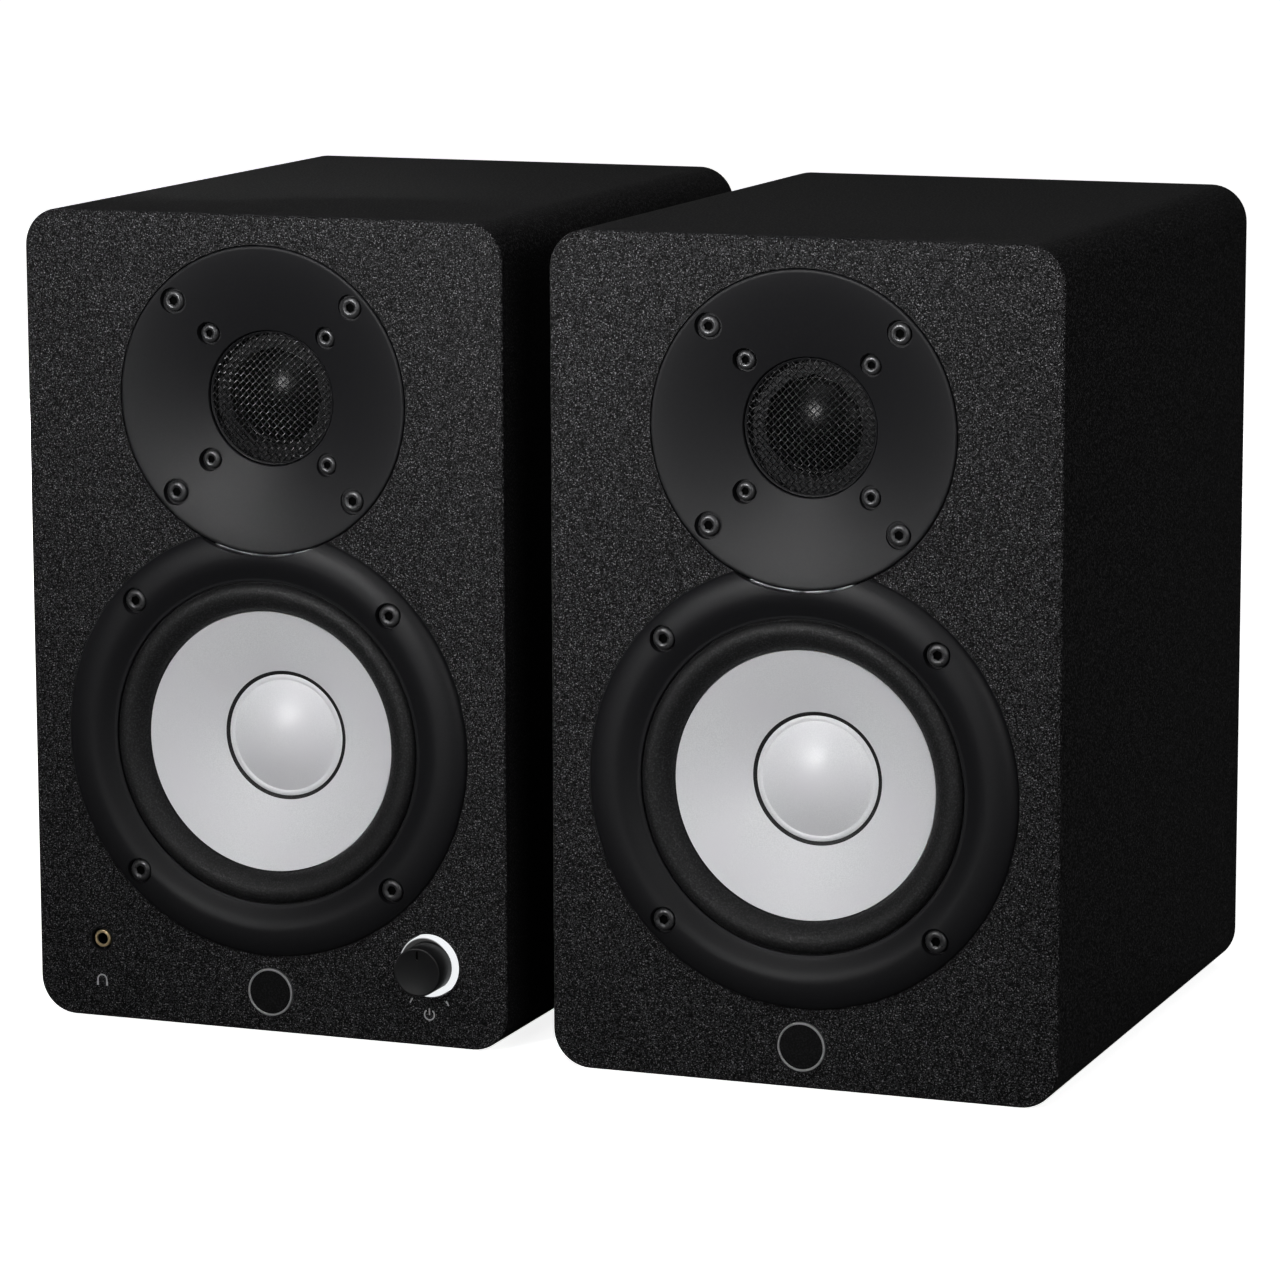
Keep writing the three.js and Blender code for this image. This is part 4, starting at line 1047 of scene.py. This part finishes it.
def power_socket(speaker):
    """The two-pin mains inlet, with a waisted opening and its pins."""
    centre, width, height, front, back = speaker.measures("power_inlet")
    seat = back - 2
    rim = slab(width, height, 2.4, seat, back, centre, 0.0, 0.6)
    body = slab(width - 4.6, height - 4.6, 0.8, front, seat, centre, 0.4, 0)
    floor = back - 14
    opening = []
    for step in range(64):
        angle = 2 * math.pi * step / 64
        x, z = 3.2 * math.copysign(1, math.cos(angle)) + 4.3 * math.cos(angle), 4.3 * math.sin(angle)
        waist = 1 - 0.16 * math.exp(-((x / 2.2) ** 2))
        opening.append((centre[0] + x, centre[1] + z * waist))
    well = loft([(opening, floor), (opening, back + 1)])
    speaker.add("inlet_rim", cut(rim, well), "socket_black", node="power_inlet")
    well_body = loft([(opening, floor), (opening, seat + 1)])
    speaker.add("inlet_body", cut(body, well_body), "socket_black")
    for number, side in enumerate((-1, 1), 1):
        place = (centre[0] + side * 4.3, centre[1])
        speaker.add(f"inlet_pin_{number}", pipe(0, 1.2, floor, back - 4, place, [0, 0, 0.5, 0], 32), "steel")


# ---- Push terminals -----------------------------------------------------------------------------

LEVER_WIDTH = 12.0


def push_terminals(speaker, face):
    """The terminal block with its wire holes, its two levers and its flange's screws."""
    centre, width, height, _, _ = speaker.measures("terminal_block")
    wide, tall, pitch = 38.0, 26.0, 18.0
    outer = face + 2.0
    end = outer + 8.0
    flange = slab(width, height, 4, face, outer, centre, 0.0, 0.6)
    housing = slab(wide, tall, 1.6, outer, end, centre, 0.0, 0.9)
    neck = slab(wide - 2, tall - 2, 1, face - 12.0, face, centre, 0.3, 0)
    hole, hole_z = 5.0, centre[1] - 6.0
    lever_z = centre[1] + 5.0
    slot_below, slot_above, slot_depth = 3.2, 2.6, 5.5
    slot_z = lever_z + (slot_above - slot_below) / 2
    tools_out, tools_flange, tools_in = [], [], []
    for side in (-1, 1):
        x = centre[0] + side * pitch / 2
        tools_out.append(slab(hole, hole, 1.2, outer - 1, end + 1, (x, hole_z), 0))
        tools_flange.append(slab(hole, hole, 1.2, face - 1, outer + 1, (x, hole_z), 0))
        tools_in.append(slab(hole, hole, 1.2, end - 20.0, face + 1, (x, hole_z), 0))
        tools_out.append(slab(LEVER_WIDTH + 2 * FIT, slot_below + slot_above, 0.4, end - slot_depth, end + 1,
                              (x, slot_z), 0))
    speaker.add("terminal_housing", cut(housing, *tools_out), "socket_black", node="terminal_block")
    speaker.add("terminal_flange", cut(flange, *tools_flange), "socket_black")
    speaker.add("terminal_neck", cut(neck, *tools_in), "socket_black")
    for side, colour in ((-1, "red"), (1, "black")):
        push_lever(speaker, colour, (centre[0] + side * pitch / 2, lever_z), end - 2.5)
    inset = 3.4
    places = [(centre[0] + x * (width / 2 - inset), centre[1] + z * (height / 2 - inset))
              for x in (-1, 1) for z in (-1, 1)]
    rear_screws(speaker, "terminal_screw", places, outer - 0.6, 2.3)


def push_lever(speaker, colour, pivot, pivot_y):
    """A lever seen from its side, rounded all over, with ribs along its thumb rest."""
    width, reach, barrel = LEVER_WIDTH, 11.0, 1.7
    outline = [(-barrel, -barrel), (barrel, -barrel), (reach - 0.5, -0.4), (reach, 2.4), (reach - 2.5, 2.6),
               (2 * barrel, barrel), (-barrel, barrel)]
    side_view = rounded(outline, [1.2, 0.5, 0.6, 0.7, 0.8, 0.8, 1.2])
    middle = (sum(y for y, _ in side_view) / len(side_view), sum(z for _, z in side_view) / len(side_view))
    rings = []
    slices = ((0, 0.94), (0.15, 0.98), (0.4, 1), (width - 0.4, 1), (width - 0.15, 0.98), (width, 0.94))
    for x, shrink in slices:
        rings.append([(pivot[0] - width / 2 + x, pivot_y + middle[0] + (y - middle[0]) * shrink,
                       pivot[1] + middle[1] + (z - middle[1]) * shrink) for y, z in side_view])
    ribs = []
    for place in (4.6, 6.0, 7.4):
        z = pivot[1] + barrel + (place - 2 * barrel) * 0.18
        front = pivot_y + place
        ribs.append(slab(width - 2.4, 0.5, 0.2, front, front + 0.45, (pivot[0], z), 0.1, 0.1))
    speaker.add(f"push_lever_{colour}", joined(skin(rings), *ribs), f"lever_{colour}", node=f"lever_{colour}",
                body=f"{speaker.side}_{colour}_lever")


# ---- Putting the speakers together --------------------------------------------------------------

INSIDE = {
    "back_board": "cabinet_film", "woofer_basket": "steel", "woofer_spider": "spider_cloth",
    "woofer_voice_coil": "copper_wire", "woofer_top_plate": "steel", "woofer_magnet": "ferrite",
    "woofer_yoke": "steel", "tweeter_motor": "moulded_black", "main_board": "circuit_board",
    "power_supply": "circuit_board", "encoder_shaft": "steel", "volume_encoder": "socket_black",
    "crossover_board": "circuit_board",
}


def finish_cad_nodes():
    """Gives a procedural material to every CAD node that nothing above stands for."""
    for node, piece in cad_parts.items():
        look = INSIDE.get(node.split("_", 1)[1])
        if look:
            piece.data.materials.clear()
            piece.data.materials.append(LOOKS[look])


def drivers(speaker):
    woofer = speaker.centre("woofer_surround")
    tweeter = speaker.centre("tweeter_grille")
    woofer_trim(speaker, woofer, tweeter)
    woofer_surround(speaker, woofer)
    woofer_cone(speaker, woofer)
    waveguide(speaker, tweeter)
    grille(speaker, tweeter)
    tweeter_dome(speaker, tweeter)
    return woofer, tweeter


def board_cuts(speaker, woofer, tweeter):
    """The recesses and holes of the front board, each a fit wider than what it takes."""
    past = speaker.board + 1
    throat = WOOFER.surround + 1.6 + FIT
    woofer_recess = turned([(0, -1), (60.9, -1), (60.9, 2), (throat, 2), (throat, past), (0, past)], woofer)
    radius, plate, hub = TWEETER.radius + FIT, TWEETER.plate, TWEETER.hub + FIT
    guide_recess = turned([(0, -1.1), (radius, -1.1), (radius, plate), (hub, plate), (hub, past + 0.1),
                           (0, past + 0.1)], tweeter)
    middle, _, high, _, back = speaker.measures("badge")
    badge_recess = disc(high / 2 + FIT, -1, back, middle)
    return woofer_recess, guide_recess, badge_recess


def build(side):
    speaker = Speaker(side)
    powered = side == "left"
    cabinet(speaker)
    bass_port(speaker)
    badge(speaker)
    woofer, tweeter = drivers(speaker)
    woofer_recess, guide_recess, badge_recess = board_cuts(speaker, woofer, tweeter)
    cuts = [woofer_recess, badge_recess]
    if powered:
        knob = speaker.centre("volume_knob")
        phones = speaker.centre("headphone_jack")
        past = speaker.board + 1
        cuts.append(disc(9.4, -1, past, knob, steps=96))
        recess = [(0, -1), (PHONES.recess + 0.3, -1), (PHONES.recess + 0.3, 0), (PHONES.recess, 0.3),
                  (PHONES.recess, PHONES.deep), (PHONES.nose + FIT, PHONES.deep),
                  (PHONES.nose + FIT, past), (0, past)]
        cuts.append(turned(recess, phones, 64))
        volume_knob(speaker)
        phones_socket(speaker, phones)
        front_marks(speaker, knob, phones)
        amp_panel(speaker)
        combo_socket(speaker, 1)
        combo_socket(speaker, 2)
        phono_sockets(speaker)
        mini_socket(speaker)
        for node, body in SLIDERS.items():
            slide_switch(speaker, node, body)
        power_socket(speaker)
        push_terminals(speaker, speaker.span("amp_panel")[1])
    else:
        push_terminals(speaker, speaker.depth)
    front_board(speaker, cuts, guide_recess)


# ---- Camera, floor and light --------------------------------------------------------------------

def camera():
    """Stands at the photograph's viewing angle, measured from the left speaker's lower left corner."""
    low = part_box("left_cabinet_shell")[0]
    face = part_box("left_front_baffle")[0].y
    yaw, pitch, roll = math.radians(20.938), math.radians(9.916), math.radians(0.177)
    ahead = Vector((-math.sin(yaw) * math.cos(pitch), math.cos(yaw) * math.cos(pitch), -math.sin(pitch)))
    level = Vector((math.cos(yaw), math.sin(yaw), 0))
    down = ahead.cross(level)
    right = math.cos(roll) * level + math.sin(roll) * down
    under = math.cos(roll) * down - math.sin(roll) * level
    data = bpy.data.cameras.new("camera")
    data.sensor_width = 36
    data.lens = 153.4
    data.clip_end = 100
    stand = bpy.data.objects.new("camera", data)
    place = Vector((low.x, face, 0)) + Vector((0.7330, -1.4157, 0.3886))
    turn = Matrix((right, -under, -ahead)).transposed().to_4x4()
    stand.matrix_world = Matrix.Translation(place) @ turn
    bpy.context.collection.objects.link(stand)
    bpy.context.scene.camera = stand


def floor():
    half, drop = 12.0, -0.0003
    mesh = bpy.data.meshes.new("studio_floor")
    mesh.from_pydata([(-half, -half, drop), (half, -half, drop), (half, half, drop), (-half, half, drop)], [],
                     [(0, 1, 2, 3)])
    mesh.materials.append(LOOKS["studio_floor"])
    ground = bpy.data.objects.new("studio_floor", mesh)
    bpy.context.collection.objects.link(ground)


def lamp(name, kind, energy, direction, place=(0, 0, 0)):
    """A white lamp that shines from a direction. Its light data is handed back for the rest."""
    data = bpy.data.lights.new(name, kind)
    data.energy = energy
    stand = bpy.data.objects.new(name, data)
    stand.location = place
    stand.rotation_mode = "QUATERNION"
    stand.rotation_quaternion = Vector(direction).to_track_quat("Z", "Y")
    bpy.context.collection.objects.link(stand)
    return data


def sun(name, strength, width, direction):
    """A broad soft light, as wide as an angle in degrees."""
    lamp(name, "SUN", strength, direction).angle = math.radians(width)


def softbox(name, power, size, place, target, spread=180):
    """A rectangular lamp. A small spread, in degrees, is a grid over it: the light falls off sideways."""
    data = lamp(name, "AREA", power, Vector(place) - Vector(target), place)
    data.spread = math.radians(spread)
    data.shape = "RECTANGLE"
    data.size, data.size_y = size


def lights():
    sun("overhead", 0.45, 50, (0.2, -0.3, 1.0))
    sun("behind", 0.15, 25, (-0.2, 0.75, 1.0))
    softbox("key", 0.95, (0.5, 0.3), (-0.1, -0.62, 0.72), (0, -0.1, 0.16))
    softbox("right", 9, (0.7, 0.9), (1.25, -1.35, 0.7), (0, -0.1, 0.12))
    softbox("pool", 1.15, (0.3, 0.3), (-0.4, -1.55, 0.60), (0, -0.11, 0.36), spread=31)
    softbox("side", 1.2, (0.6, 0.6), (1.7, 0.2, 0.45), (0.16, 0, 0.12))
    softbox("left", 3, (0.7, 0.7), (-1.8, 0.3, 0.6), (-0.16, 0, 0.12))
    softbox("back", 12, (0.6, 0.16), (-0.85, 1.15, 0.13), (0, 0.1, 0.13))
    world = bpy.data.worlds.new("studio")
    world.use_nodes = True
    shade = world.node_tree.nodes["Background"]
    shade.inputs["Color"].default_value = (1, 1, 1, 1)
    seen = world.node_tree.nodes.new("ShaderNodeLightPath").outputs["Is Camera Ray"]
    strength = world.node_tree.nodes.new("ShaderNodeMapRange")
    strength.inputs["To Min"].default_value = 0.04
    strength.inputs["To Max"].default_value = 1.0
    world.node_tree.links.new(seen, strength.inputs["Value"])
    world.node_tree.links.new(strength.outputs["Result"], shade.inputs["Strength"])
    bpy.context.scene.world = world
    bpy.context.scene.view_settings.view_transform = "Standard"


make_looks()
finish_cad_nodes()
for side in ("left", "right"):
    build(side)
camera()
floor()
lights()
